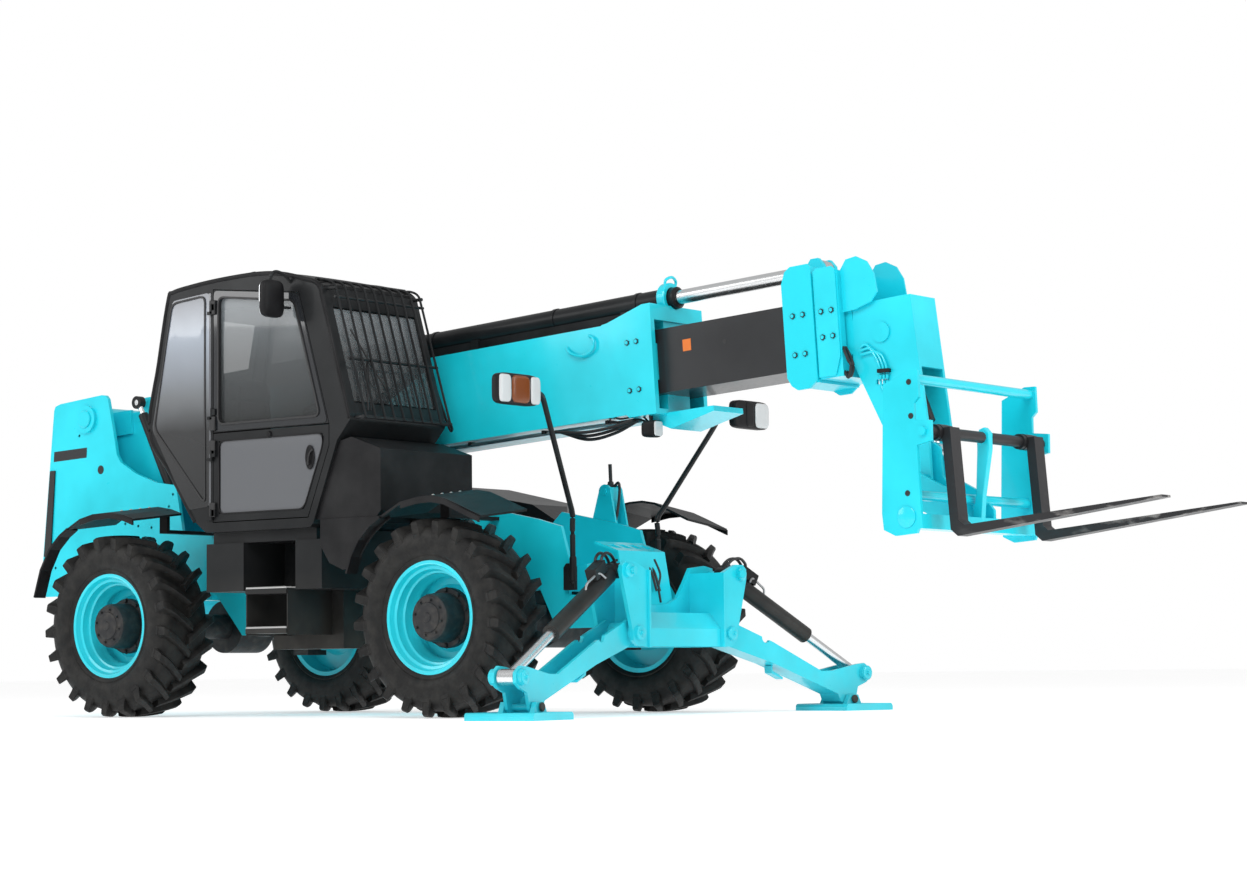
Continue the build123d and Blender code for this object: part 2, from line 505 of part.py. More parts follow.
def build_cab():
    """The cab's hollow frame, its glass and both halves of the door."""
    shell = prism(CAB_SIDE, CAB_OUTER, CAB_INNER, 0, CAB_ROUND) \
        - prism(CAB_SIDE, CAB_OUTER + CAB_WALL, CAB_INNER - CAB_WALL, CAB_WALL)
    out = DOOR_GAP
    door_hole = [(DOOR_REAR - out, DOOR_SILL - out), (DOOR_REAR - out, DOOR_TOP + out), (314, DOOR_TOP - 80 + out),
                 (DOOR_FRONT + out, DOOR_SPLIT), (DOOR_FRONT + out, DOOR_SPLIT - 130), (389, DOOR_SILL - out)]
    near_0, near_1 = CAB_OUTER - 5, CAB_OUTER + CAB_WALL + 5
    far_0, far_1 = CAB_INNER + 5, CAB_INNER - CAB_WALL - 5
    shell = shell - prism(door_hole, near_0, near_1)
    quarter = [(DOOR_REAR - 70, 1330), (DOOR_REAR - 70, DOOR_TOP - 30), (-800, DOOR_TOP - 55), (-960, 1830)]
    inner_side = [(-450, 1500), (-860, 1840), (-750, DOOR_TOP - 70), (0, DOOR_TOP - 20), (400, DOOR_TOP - 130),
                  (610, 1830), (520, 1600)]
    shell = shell - prism(quarter, near_0, near_1, 0, PANE_ROUND) - prism(inner_side, far_0, far_1, 0, PANE_ROUND)
    y0, y1 = CAB_OUTER + 60, CAB_INNER - 60
    shell = shell - side_plate([(735, 1900), (560, DOOR_TOP - 170), (480, DOOR_TOP - 210), (640, 1860)], y0, y1)
    shell = shell - side_plate([(-1060, 1880), (-900, DOOR_TOP - 110), (-780, DOOR_TOP - 130), (-930, 1880)], y0, y1)
    shell = shell - block(-560, 220, y0 + 60, y1 - 60, DOOR_TOP - 20, DOOR_TOP + 130)
    for z in LOWER_HINGES + UPPER_HINGES:
        shell = shell + hinge_lug(z)
    keep("cab_frame", shell)
    mid = CAB_WALL / 2
    windscreen = side_plate([(702, 1902), (534, DOOR_TOP - 192), (526, DOOR_TOP - 194), (694, 1900)], y0 + SEAT_GAP, y1 - SEAT_GAP)
    keep("cab_glass", together([
        prism(quarter, CAB_OUTER + mid - PANE / 2, CAB_OUTER + mid + PANE / 2, SEAT_GAP, PANE_ROUND),
        prism(inner_side, CAB_INNER - mid - PANE / 2, CAB_INNER - mid + PANE / 2, SEAT_GAP, PANE_ROUND), windscreen]))
    lower = prism(DOOR_LOWER, CAB_OUTER, CAB_OUTER + DOOR_THICK) \
        - prism(DOOR_LOWER, CAB_OUTER - 1, CAB_OUTER + PANEL_STEP, SASH, PANE_ROUND)
    for z in LOWER_HINGES:
        lower = lower + hinge_knuckle(z)
    keep("door_lower", lower)
    upper = prism(DOOR_UPPER, CAB_OUTER, CAB_OUTER + DOOR_THICK)
    window = [(DOOR_REAR + SASH, DOOR_SPLIT + 4 + SASH), (DOOR_REAR + SASH, DOOR_TOP - SASH),
              (275, DOOR_TOP - 76 - SASH), (DOOR_FRONT - 68, DOOR_SPLIT + 4 + SASH)]
    upper = upper - prism(window, CAB_OUTER - 5, CAB_OUTER + DOOR_THICK + 5, 0, PANE_ROUND)
    for z in UPPER_HINGES:
        upper = upper + hinge_knuckle(z)
    keep("door_upper", upper)
    pane_y = CAB_OUTER + DOOR_THICK / 2
    keep("door_upper_glass", prism(window, pane_y - PANE / 2, pane_y + PANE / 2, SEAT_GAP, PANE_ROUND))
    mirror_z = DOOR_TOP - 105
    arm = bar_y(202, mirror_z, CAB_OUTER - SEAT_GAP, CAB_OUTER - 160, 12)
    keep("mirror", arm + block(180, 240, CAB_OUTER - 220, CAB_OUTER - 40, DOOR_TOP - 240, DOOR_TOP - 5))


def build_cab_inside():
    """Subframe, seat and steering column."""
    floor = CAB_BOTTOM + CAB_WALL + SEAT_GAP
    keep("cab_base", block(-490, TOE[0] - 19, CAB_OUTER + 60, CAB_INNER - 60, BASE_BOTTOM, CAB_BOTTOM - SEAT_GAP))
    y = (CAB_OUTER + CAB_INNER) / 2
    keep("seat", fused(block(-560, -80, y - 230, y + 230, 1500, 1640), block(-640, -520, y - 230, y + 230, 1560, 2180),
                       block(-480, -160, y - 150, y + 150, floor, 1520)))
    hub = (195, y, 1915)
    wheel = Pos(*hub) * Rot(0, -10, 0)
    keep("steering_column", fused(bar((330, y, 1215), hub, 40), block(260, 360, y - 60, y + 60, floor, 1260),
                                  wheel * Torus(180, 16), wheel * Box(360, 40, 14)))


def build_cowl():
    """Hollow cowl under the windscreen, between the cab's front and the wheel arch."""
    size = math.dist(TOE, CHIN)
    out_x, out_z = (CHIN[1] - TOE[1]) / size, -(CHIN[0] - TOE[0]) / size

    def ahead(share, gap):
        return (TOE[0] + (CHIN[0] - TOE[0]) * share + out_x * gap, TOE[1] + (CHIN[1] - TOE[1]) * share + out_z * gap)
    low = 1195
    share = (low - TOE[1]) / (CHIN[1] - TOE[1])
    middle_back, top_back, bottom_back = ahead(0.85, SEAT_GAP), ahead(1, 10), ahead(share, SEAT_GAP)
    outline = [bottom_back, middle_back, top_back, (top_back[0] + 90, 1682), (FRONT_X - 410, 1600), (FRONT_X - 410, 1230),
               (FRONT_X - 445, low)]
    inside = [(bottom_back[0] + 18, low - 10), (top_back[0] + 12, 1640), (top_back[0] + 86, 1668),
              (FRONT_X - 424, 1589), (FRONT_X - 424, 1232), (FRONT_X - 452, low - 10)]
    near, far = CAB_OUTER + 20, CAB_INNER - 10
    keep("cowl", side_plate(outline, near, far) - side_plate(inside, near + 14, far - 14))


GUARD_TOP = (575, DOOR_TOP - 70)
GUARD_FOOT = (822, 1800)
GUARD_BARS = 9


def build_guard():
    """Bars over the windscreen, on three rails held off the front pillars."""
    first, last = CAB_OUTER + 50, CAB_INNER - 50
    (top_x, top_z), (foot_x, foot_z) = GUARD_TOP, GUARD_FOOT
    ribs = []
    for i in range(GUARD_BARS):
        y = first + (last - first) * i / (GUARD_BARS - 1)
        ribs.append(bar((top_x, y, top_z), (foot_x, y, foot_z), 8))
    guard = fused(*ribs)
    for x, z in (GUARD_TOP, ((top_x + foot_x) / 2, (top_z + foot_z) / 2), GUARD_FOOT):
        guard = guard + bar_y(x, z, first - 20, last + 20, 13)
    for y in (first - 8, last + 8):
        guard = guard + bar((512 + SEAT_GAP, y, top_z), (top_x, y, top_z), 11)
        guard = guard + bar((PILLAR_FOOT[0] + SEAT_GAP, y, foot_z), (foot_x, y, foot_z), 11)
    keep("windscreen_guard", guard)


STEP_HEIGHTS = (757, 514)


def build_lockers():
    """Lockers under the cab, with the two steps between them."""
    top = BASE_BOTTOM - SEAT_GAP
    near, inner = CAB_OUTER + 40, -520
    body = block(-533, -206, near, inner, 780, top) + block(240, 461, near, inner, 780, top)
    body = body + block(-300, 300, -760, inner, 420, top)
    body = body + block(-100, 300, -760, -RAIL_OUTER - SEAT_GAP, 620, 700)
    for z in STEP_HEIGHTS:
        body = body + block(-150, 200, CAB_OUTER, CAB_OUTER + 200, z, z + 30)
    for x in (-154, 196):
        body = body + block(x, x + 8, CAB_OUTER + 10, -759, STEP_HEIGHTS[1] - 9, STEP_HEIGHTS[0] + 33)
    keep("lockers", body)


# ---------------------------------------------------------------- engine side
POD_INNER = RAIL_OUTER + SEAT_GAP
POD_OUTER = 1120
POD_HALF = 590              # half length: the steered tyres swing past its ends
POD_FLOOR = 660
POD_TOP = 1240
POD_WALL = 40
COVER_HINGES = (-430, -10)
SLOT_ROWS = 3                # air slots in the side of the cover
SLOT_HALF = 170
NOSE_BOTTOM = 1192          # the nose runs on over the steered front tyre


def build_engine():
    """Engine block and its housing on the left, between the wheels, with the hinged cover."""
    keep("engine_block", block(-500, 440, 560, 960, POD_FLOOR + SEAT_GAP, 1150))
    pod = block(-POD_HALF, POD_HALF, POD_INNER, POD_OUTER, POD_FLOOR - POD_WALL, POD_TOP)
    pod = pod - block(-POD_HALF + POD_WALL, POD_HALF - POD_WALL, POD_INNER + POD_WALL, POD_OUTER - POD_WALL, POD_FLOOR,
                      POD_TOP + 60)
    cover_z = POD_TOP + RUN_GAP
    outline = [(-POD_HALF, cover_z), (-POD_HALF, 1430), (-480, 1500), (60, 1490), (580, 1376), (580, cover_z)]
    inside = [(-POD_HALF + 25, cover_z - 6), (-POD_HALF + 25, 1412), (-470, 1478), (56, 1468), (555, 1358),
              (555, cover_z - 6)]
    cover = side_plate(outline, POD_INNER + 20, POD_OUTER) - side_plate(inside, POD_INNER + 45, POD_OUTER - 25)
    for row in range(SLOT_ROWS):
        slot_z = cover_z + 36 + row * 30
        for x in (-280, 180):
            cover = cover - block(x - SLOT_HALF, x + SLOT_HALF, POD_OUTER - 30, POD_OUTER + 5, slot_z, slot_z + 14)
    y, z = COVER_HINGE_Y, COVER_HINGE_Z
    for x in COVER_HINGES:
        pod = fused(pod, block(x - 30, x + 30, POD_INNER, 414, POD_TOP - 10, z), bar_x(y, z, x - 30, x + 76, 8))
        knuckle_bar = bar_x(y, z, x + 30 + PIN_GAP, x + 70, 14)
        leaf = block(x + 30 + PIN_GAP, x + 70, y, y + 60, z - 45, z + 8)
        cover = cover + (fused(knuckle_bar, leaf) - bar_x(y, z, x, x + 100, 8 + PIN_GAP))
    nose = side_plate([(586, NOSE_BOTTOM), (586, 1378), (840, 1331), (1069, 1200), (1069, NOSE_BOTTOM)],
                      POD_INNER + 20, POD_OUTER - 60)
    plan = top_plate([(580, POD_INNER + 10), (1080, POD_INNER + 10), (1069, 500), (826, 790), (640, 1040), (580, 1080)],
                     NOSE_BOTTOM - 5, 1400)
    keep("engine_pod", pod + (nose & plan))
    keep("engine_cover", cover)


# ---------------------------------------------------------------- stabilisers
FRAME_FLOOR = 401
LEG_SLOT = STAB_DEPTH / 2 - PLATE    # half the room between the frame's two plates
FOOT_PIN = 18
BRACKET_INNER = 376          # inner edge of the two side brackets
SHELF_HALF = 230             # half width of the slotted shelf that guides the hoses


def swept(side, shape):
    """Turn a piece of one leg forward about the vertical through its inner pin."""
    return Pos(STAB_X, side * LEG_PIN_Y, 0) * Rot(0, 0, -side * LEG_SWEEP) * Pos(-STAB_X, -side * LEG_PIN_Y, 0) * shape


def swept_point(side, y, z):
    """Where a point of a leg's middle plane lies after the sweep."""
    dx, dy = turned(0, y - LEG_PIN_Y, -LEG_SWEEP)
    return STAB_X + dx, side * (LEG_PIN_Y + dy), z


def build_stabilisers():
    """Front frame with two hinged legs, each with its foot."""
    x0, x1 = STAB_X - STAB_DEPTH / 2, STAB_X + STAB_DEPTH / 2
    inner_x0, inner_x1 = x0 + PLATE, x1 - PLATE
    beam = [(inner_x0 - 1, FRAME_FLOOR + 3), (x1 - 12, FRAME_FLOOR + 3), (x1 - 12, 510), (x1 - 95, 606), (inner_x0 - 1, 606)]
    frame = side_plate(beam, -BRACKET_INNER - 1, BRACKET_INNER + 1)
    back = [(0, FRAME_FLOOR), (375, FRAME_FLOOR), (505, 430), (524, 480), (612, 812), (604, 886), (520, 900),
            (BRACKET_INNER, 884), (318, 800), (240, 700), (150, 662), (0, 655)]
    back += [(-y, z) for y, z in reversed(back[1:-1])]
    frame = frame + front_plate(back, x0, inner_x0)
    bracket = [(BRACKET_INNER, FRAME_FLOOR), (470, FRAME_FLOOR + 6), (514, 440), (524, 500), (618, 815), (618, 872),
               (584, 900), (505, 900), (BRACKET_INNER, 850)]
    pin_reach = STAB_DEPTH / 2 + 20
    for side in (-1, 1):
        frame = frame + front_plate([(side * y, z) for y, z in bracket], inner_x1, x1)
        pins = fused(bar_x(side * LEG_PIN_Y, LEG_PIN_Z, STAB_X - pin_reach, STAB_X + pin_reach, 30),
                     bar_x(side * CYL_PIN_Y, CYL_PIN_Z, STAB_X - pin_reach, STAB_X + pin_reach, 24))
        frame = frame + swept(side, pins)
        frame = frame + block(inner_x0 - 1, x1 + 14, side * (BRACKET_INNER - 14), side * (BRACKET_INNER + 2), FRAME_FLOOR, 850)
        for y, z in ((LEG_PIN_Y, LEG_PIN_Z), (CYL_PIN_Y, CYL_PIN_Z)):
            frame = frame + bar_x(side * y, z, x1 - 1, x1 + 10, 44)
    shelf = [(x0 + 2, 640), (x0 - 60, 980), (x0 - 235, 1040), (x0 - 240, 1026), (x0 - 72, 970), (x0 + 2, 600)]
    hose_shelf = side_plate(shelf, -SHELF_HALF, SHELF_HALF)
    for y in (-150, -50, 50, 150):
        hose_shelf = hose_shelf - block(x0 - 190, x0 - 110, y - 34, y + 34, 960, 1060)
    keep("stabiliser_frame", fused(frame, hose_shelf))

    wall = [(430, 430), (430, 535), (520, 560), (900, 430), (1330, 250), (1430, 252), (1660, 292), (ROD_PIN_Y, 298),
            (1785, 262), (1785, 205), (1740, 175), (1665, 150), (1640, 60), (1600, 27), (1570, 27), (1500, 60),
            (1480, 105), (900, 300), (540, 395)]
    floor = [(430, 430), (540, 395), (900, 300), (1480, 105), (1500, 60), (1570, 27), (1575, 46), (1516, 76),
             (1496, 122), (905, 322), (545, 417), (430, 452)]
    inner = LEG_HALF - LEG_WALL
    foot_y, foot_z = FOOT_PIN_Y, FOOT_PIN_Z
    notch_y, notch_z = turned(CYL_PIN_Y - LEG_PIN_Y, CYL_PIN_Z - LEG_PIN_Z, -LEG_LIFT)
    for name, side in (("right", -1), ("left", 1)):
        def at(points):
            return [(side * y, z) for y, z in points]
        leg = front_plate(at(floor), STAB_X - inner - 1, STAB_X + inner + 1)
        for sign in (-1, 1):
            leg = leg + front_plate(at(wall), STAB_X + sign * inner, STAB_X + sign * LEG_HALF)
            leg = leg + bar_x(side * ROD_PIN_Y, ROD_PIN_Z, STAB_X + sign * inner, STAB_X + sign * (LEG_HALF + 24), 46)
        leg = leg + bar_x(side * LEG_PIN_Y, LEG_PIN_Z, STAB_X - LEG_SLOT + 18, STAB_X + LEG_SLOT - 18, 62)
        leg = leg - bar_x(side * LEG_PIN_Y, LEG_PIN_Z, STAB_X - LEG_SLOT, STAB_X + LEG_SLOT, 30 + PIN_GAP)
        # the cylinder's inner pin drops into this notch when the leg is folded
        leg = leg - bar_x(side * (LEG_PIN_Y + notch_y), LEG_PIN_Z + notch_z, STAB_X - LEG_SLOT, STAB_X + LEG_SLOT, 36)
        leg = leg + bar_x(side * foot_y, foot_z, STAB_X - LEG_HALF - 42, STAB_X + LEG_HALF + 42, FOOT_PIN)
        keep("stabiliser_leg_" + name, swept(side, leg))

        pad_y = foot_y + 35
        pad = block(STAB_X - PAD_LENGTH / 2, STAB_X + PAD_LENGTH / 2, side * (pad_y - PAD_WIDTH / 2),
                    side * (pad_y + PAD_WIDTH / 2), 0, 16)
        lug = [(foot_y - 85, 14), (foot_y + 85, 14), (foot_y + 40, foot_z + 28), (foot_y - 35, foot_z + 28)]
        for sign in (-1, 1):
            lug_x = STAB_X + sign * (LEG_HALF + RUN_GAP)
            pad = pad + front_plate(at(lug), lug_x, lug_x + sign * 30)
        for end in (-1, 1):
            roll_y = side * (pad_y + end * (PAD_WIDTH / 2 - PAD_ROLL))
            pad = pad + bar_x(roll_y, PAD_ROLL, STAB_X - PAD_LENGTH / 2, STAB_X + PAD_LENGTH / 2, PAD_ROLL)
            edge_x = STAB_X + end * PAD_LENGTH / 2
            pad = pad + block(edge_x, edge_x - end * 12, side * (pad_y - PAD_WIDTH / 2 + PAD_ROLL),
                              side * (pad_y + PAD_WIDTH / 2 - PAD_ROLL), 0, PAD_ROLL * 2)
        pad = pad - bar_x(side * foot_y, foot_z, STAB_X - LEG_HALF - 60, STAB_X + LEG_HALF + 60, FOOT_PIN + PIN_GAP)
        keep("stabiliser_pad_" + name, swept(side, pad))


# ---------------------------------------------------------------- boom
LIFT_EYE = (PIVOT_X + 1990, 1505)
LIFT_EYE_HALF = 60
COMP_EYE = (PIVOT_X + 401, 2138)
PAD_ROOM = 20                # wear pads start this far inside the end of a section
HEAD_2 = 180                 # length of the collar at the nose of section 2
HEAD_3 = 160
NECK_3 = STAGE_2_NOSE + HEAD_2 - 30 + RUN_GAP    # where section 3's collar starts
NOSE_S = NECK_3 + HEAD_3 + 40
NOSE_X, NOSE_Z = boom_point(NOSE_S, 0)
CARRIAGE_PIVOT_X = NOSE_X + HEAD_REACH
CARRIAGE_PIVOT_Z = NOSE_Z - HEAD_DROP
FORK_SHAFT_X = CARRIAGE_PIVOT_X + FORK_SHAFT_AHEAD
FORK_SHAFT_Z = CARRIAGE_PIVOT_Z + FORK_SHAFT_UP
TILT_BASE = (NOSE_X + 190, NOSE_Z - 30)
TILT_EYE = (CARRIAGE_PIVOT_X + 40, CARRIAGE_PIVOT_Z + 228)
TILT_EYE_HALF = 40
CLEVIS_S = STAGE_2_NOSE + 85
NOSE_RISE = 82               # the outer section's nose stands this far above its top
LIP_REACH = 340              # a trough under the nose guides what runs out with section 2
LIP_HALF = 150


def wear_pads(s0, s1, half, beside, above, below):
    """Four sliding pads round a section; the last three are inner and outer distances from its centre line."""
    pads = [block(s0, s1, side * beside[0], side * beside[1], -half, half) for side in (-1, 1)]
    pads.append(block(s0, s1, -half, half, above[0], above[1]))
    pads.append(block(s0, s1, -half, half, -below[1], -below[0]))
    return pads


def collar(s0, s1, half_width, down, up, inner_half_width, inner_half_height):
    """A thick frame round the nose of a section."""
    return block(s0, s1, -half_width, half_width, -down, up) \
        - block(s0 - 1, s1 + 1, -inner_half_width, inner_half_width, -inner_half_height, inner_half_height)


def build_outer_boom():
    """Outer section with its pivot, its cylinder lugs and the wear pads at its mouth."""
    half = OUTER_WIDTH / 2
    outer = box_section(OUTER_TAIL, OUTER_NOSE, OUTER_WIDTH, OUTER_UP, OUTER_DOWN, OUTER_WALL)
    mouth = block(OUTER_NOSE - 210, OUTER_NOSE, -half, half, -OUTER_DOWN - 20, OUTER_UP + 22) \
        + block(OUTER_NOSE - 25, OUTER_NOSE, -half, half, OUTER_UP, OUTER_UP + NOSE_RISE)
    mouth = mouth - block(OUTER_NOSE - 231, OUTER_NOSE + 1, -half + 4, half - 4, -OUTER_DOWN + 4, OUTER_UP - 4) \
        - bar((OUTER_NOSE - 40, 0, RAM_ABOVE_AXIS), (OUTER_NOSE + 1, 0, RAM_ABOVE_AXIS), RAM_BARREL_RADIUS + 2)
    cheek = [(OUTER_NOSE - 375, OUTER_UP), (OUTER_NOSE - 330, OUTER_UP + 6), (OUTER_NOSE - 60, OUTER_UP + NOSE_RISE),
             (OUTER_NOSE, OUTER_UP + NOSE_RISE), (OUTER_NOSE, -OUTER_DOWN - 20), (OUTER_NOSE - 205, -OUTER_DOWN - 20),
             (OUTER_NOSE - 225, -OUTER_DOWN), (OUTER_NOSE - 262, -60)]
    for side in (-1, 1):
        mouth = mouth + side_plate(cheek, side * (half - 1), side * (half + 22))
    low = -OUTER_DOWN - 8
    lip = [(OUTER_NOSE - 130, low), (OUTER_NOSE - 130, low - 32), (OUTER_NOSE + 20, low - 100),
           (OUTER_NOSE + LIP_REACH, low - 32), (OUTER_NOSE + LIP_REACH, low)]
    room = [(OUTER_NOSE + 1, low + 1), (OUTER_NOSE + 1, low - 78), (OUTER_NOSE + 20, low - 87),
            (OUTER_NOSE + LIP_REACH - 12, low - 22), (OUTER_NOSE + LIP_REACH - 12, low + 1)]
    lip = side_plate(lip, -LIP_HALF, LIP_HALF) - side_plate(room, -LIP_HALF + 12, LIP_HALF - 12)
    outer = fused(outer, mouth, lip)
    outer = outer + bar_y(PIVOT_S, PIVOT_H, -half - 70, half + 70, 90)
    for side in (-1, 1):
        outer = outer + block(PIVOT_S - 150, PIVOT_S + 260, side * (half - 1), side * (half + 20), 120, OUTER_UP + 20)
    outer = outer + block(PIVOT_S - 150, PIVOT_S + 90, -half, half, OUTER_UP - 10, OUTER_UP + 20)
    w, h = STAGE_2_WIDTH / 2 + PAD_GAP, STAGE_2_HEIGHT / 2 + PAD_GAP
    outer = fused(outer, *wear_pads(OUTER_NOSE - 160, OUTER_NOSE - PAD_ROOM, 110, (w, half - OUTER_WALL + 1),
                                    (h, OUTER_UP - OUTER_WALL + 1), (h, OUTER_DOWN - OUTER_WALL + 1)))
    eye_s, eye_h = on_boom(*LIFT_EYE)
    for side in (-1, 1):
        y0 = side * (LIFT_EYE_HALF + RUN_GAP)
        lug = [(eye_s - 170, -OUTER_DOWN + 5), (eye_s - 60, eye_h - 55), (eye_s + 60, eye_h - 55),
               (eye_s + 170, -OUTER_DOWN + 5)]
        outer = outer + side_plate(lug, y0, y0 + side * 30)
    comp_s, comp_h = on_boom(*COMP_EYE)
    lug = [(comp_s - 90, 200), (comp_s - 40, comp_h + 40), (comp_s + 40, comp_h + 40), (comp_s + 90, 200)]
    outer = outer + side_plate(lug, -half - 14, -half + 10)
    keep("boom_outer", BOOM * (outer - bar_y(PIVOT_S, PIVOT_H, -400, 400, PIVOT_PIN + PIN_GAP)))


def build_extension():
    """Extension cylinder on top of the boom: its barrel on the outer section, its rod on section 2."""
    end = OUTER_NOSE - 15
    bore = RAM_BARREL_RADIUS - 16

    def ring(s0, s1, outside, inside):
        return tube((s0, 0, RAM_ABOVE_AXIS), (s1, 0, RAM_ABOVE_AXIS), outside, inside)

    def disc(s0, s1, radius):
        return bar((s0, 0, RAM_ABOVE_AXIS), (s1, 0, RAM_ABOVE_AXIS), radius)
    barrel = fused(ring(760, end, RAM_BARREL_RADIUS, bore), disc(740, 765, RAM_BARREL_RADIUS),
                   ring(end - 25, end, RAM_BARREL_RADIUS, RAM_ROD_RADIUS + PIN_GAP))
    for share in (0.01, 0.32, 0.62, 0.92):
        s = 760 + (end - 760) * share
        saddle = block(s - 30, s + 30, -70, 70, OUTER_UP + SEAT_GAP, RAM_ABOVE_AXIS - 40)
        barrel = barrel + (saddle - disc(s - 40, s + 40, bore + 8))
    keep("extension_barrel", BOOM * barrel)
    eye = bar_y(CLEVIS_S, RAM_ABOVE_AXIS, -40, 40, 58) + bar_y(CLEVIS_S, RAM_ABOVE_AXIS, -45.7, 45.7, 26)
    keep("extension_rod", BOOM * fused(disc(1750, 1800, bore - PIN_GAP), disc(1780, CLEVIS_S - 25, RAM_ROD_RADIUS), eye))


def build_inner_boom():
    """Sections 2 and 3, each with a collar at its nose and wear pads at both ends."""
    w2, h2 = STAGE_2_WIDTH / 2, STAGE_2_HEIGHT / 2
    w3, h3 = STAGE_3_WIDTH / 2, STAGE_3_HEIGHT / 2
    w4, h4 = STAGE_4_WIDTH / 2, STAGE_4_HEIGHT / 2
    tail = STAGE_2_TAIL + PAD_ROOM
    section = box_section(STAGE_2_TAIL, STAGE_2_NOSE, STAGE_2_WIDTH, h2, h2, STAGE_WALL)
    section = fused(section, *wear_pads(tail, tail + 140, 110, (w2 - 1, OUTER_WIDTH / 2 - OUTER_WALL - PAD_GAP),
                                        (h2 - 1, OUTER_UP - OUTER_WALL - PAD_GAP),
                                        (h2 - 1, OUTER_DOWN - OUTER_WALL - PAD_GAP)))
    s0, s1 = STAGE_2_NOSE - 30, STAGE_2_NOSE - 30 + HEAD_2
    head = collar(s0, s1, w2 + 25, h2 + 90, h2 + 200, w2 - 6, h2 - 6)
    slot = block(s0 - 30, s1 + 10, -TILT_EYE_HALF - RUN_GAP, TILT_EYE_HALF + RUN_GAP, h2 + 60, h2 + 307)
    section = section + (head - slot)
    cheek = [(s0, -h2 - 90), (s0 - 28, -h2 - 40), (s0 - 28, h2 + 120), (s0, h2 + 190), (s0 + 40, h2 + 215),
             (s1 - 20, h2 + 215), (s1, h2 + 195), (s1, -h2 - 75), (s1 - 60, -h2 - 118), (s0 + 40, -h2 - 118)]
    ear = [(CLEVIS_S - 85, h2 + 150), (CLEVIS_S - 60, RAM_ABOVE_AXIS + 20), (CLEVIS_S - 25, RAM_ABOVE_AXIS + 62),
           (CLEVIS_S + 25, RAM_ABOVE_AXIS + 62), (CLEVIS_S + 58, RAM_ABOVE_AXIS + 20), (s1, h2 + 150)]
    for side in (-1, 1):
        y0 = side * (TILT_EYE_HALF + RUN_GAP)
        section = section + side_plate(ear, y0, y0 + side * 30)
        section = section + side_plate(cheek, side * (w2 + 24), side * (w2 + 38))
    section = fused(section, *wear_pads(STAGE_2_NOSE - 10, STAGE_2_NOSE + 100, 95, (w3 + PAD_GAP, w2 - 5),
                                        (h3 + PAD_GAP, h2 - 5), (h3 + PAD_GAP, h2 - 5)))
    keep("boom_section_2", BOOM * section)

    tail = STAGE_3_TAIL + PAD_ROOM
    wall_w, wall_h = w2 - STAGE_WALL - PAD_GAP, h2 - STAGE_WALL - PAD_GAP
    section = box_section(STAGE_3_TAIL, STAGE_3_NOSE, STAGE_3_WIDTH, h3, h3, STAGE_WALL)
    section = fused(section, *wear_pads(tail, tail + 120, 95, (w3 - 1, wall_w), (h3 - 1, wall_h), (h3 - 1, wall_h)))
    s1 = NECK_3 + HEAD_3
    section = section + collar(NECK_3, s1, w3 + 42, h3 + 100, h3 + 180, w3 - 6, h3 - 6)
    cheek = [(NECK_3, -h3 - 90), (NECK_3, h3 + 185), (NECK_3 + 22, h3 + 205), (s1 - 30, h3 + 205), (s1 - 8, h3 + 185),
             (s1 - 8, -h3 + 20), (s1 - 45, -h3 - 90)]
    fin = [(s1 - 6, h3 + 176), (s1 + 40, h3 + 236), (s1 + 110, h3 + 244), (s1 + 180, h3 + 205), (s1 + 222, h3 + 130),
           (s1 + 236, h3 + 20), (s1 + 190, h3 - 30), (s1 + 80, h3 - 60), (s1 - 6, h3 - 65)]
    for side in (-1, 1):
        section = section + side_plate(cheek, side * (w3 + 41), side * (w3 + 53))
        section = section + side_plate(fin, side * (w3 - 8), side * (w3 + 4))
        section = section + block(s1 - 12, s1, side * (w3 - 8), side * (w3 + 41), -h3, h3 + 176)
    section = fused(section, *wear_pads(NECK_3 + 10, NECK_3 + 110, 85, (w4 + PAD_GAP, w3 - 5), (h4 + PAD_GAP, h3 - 5),
                                        (h4 + PAD_GAP, h3 - 5)))
    keep("boom_section_3", BOOM * section)


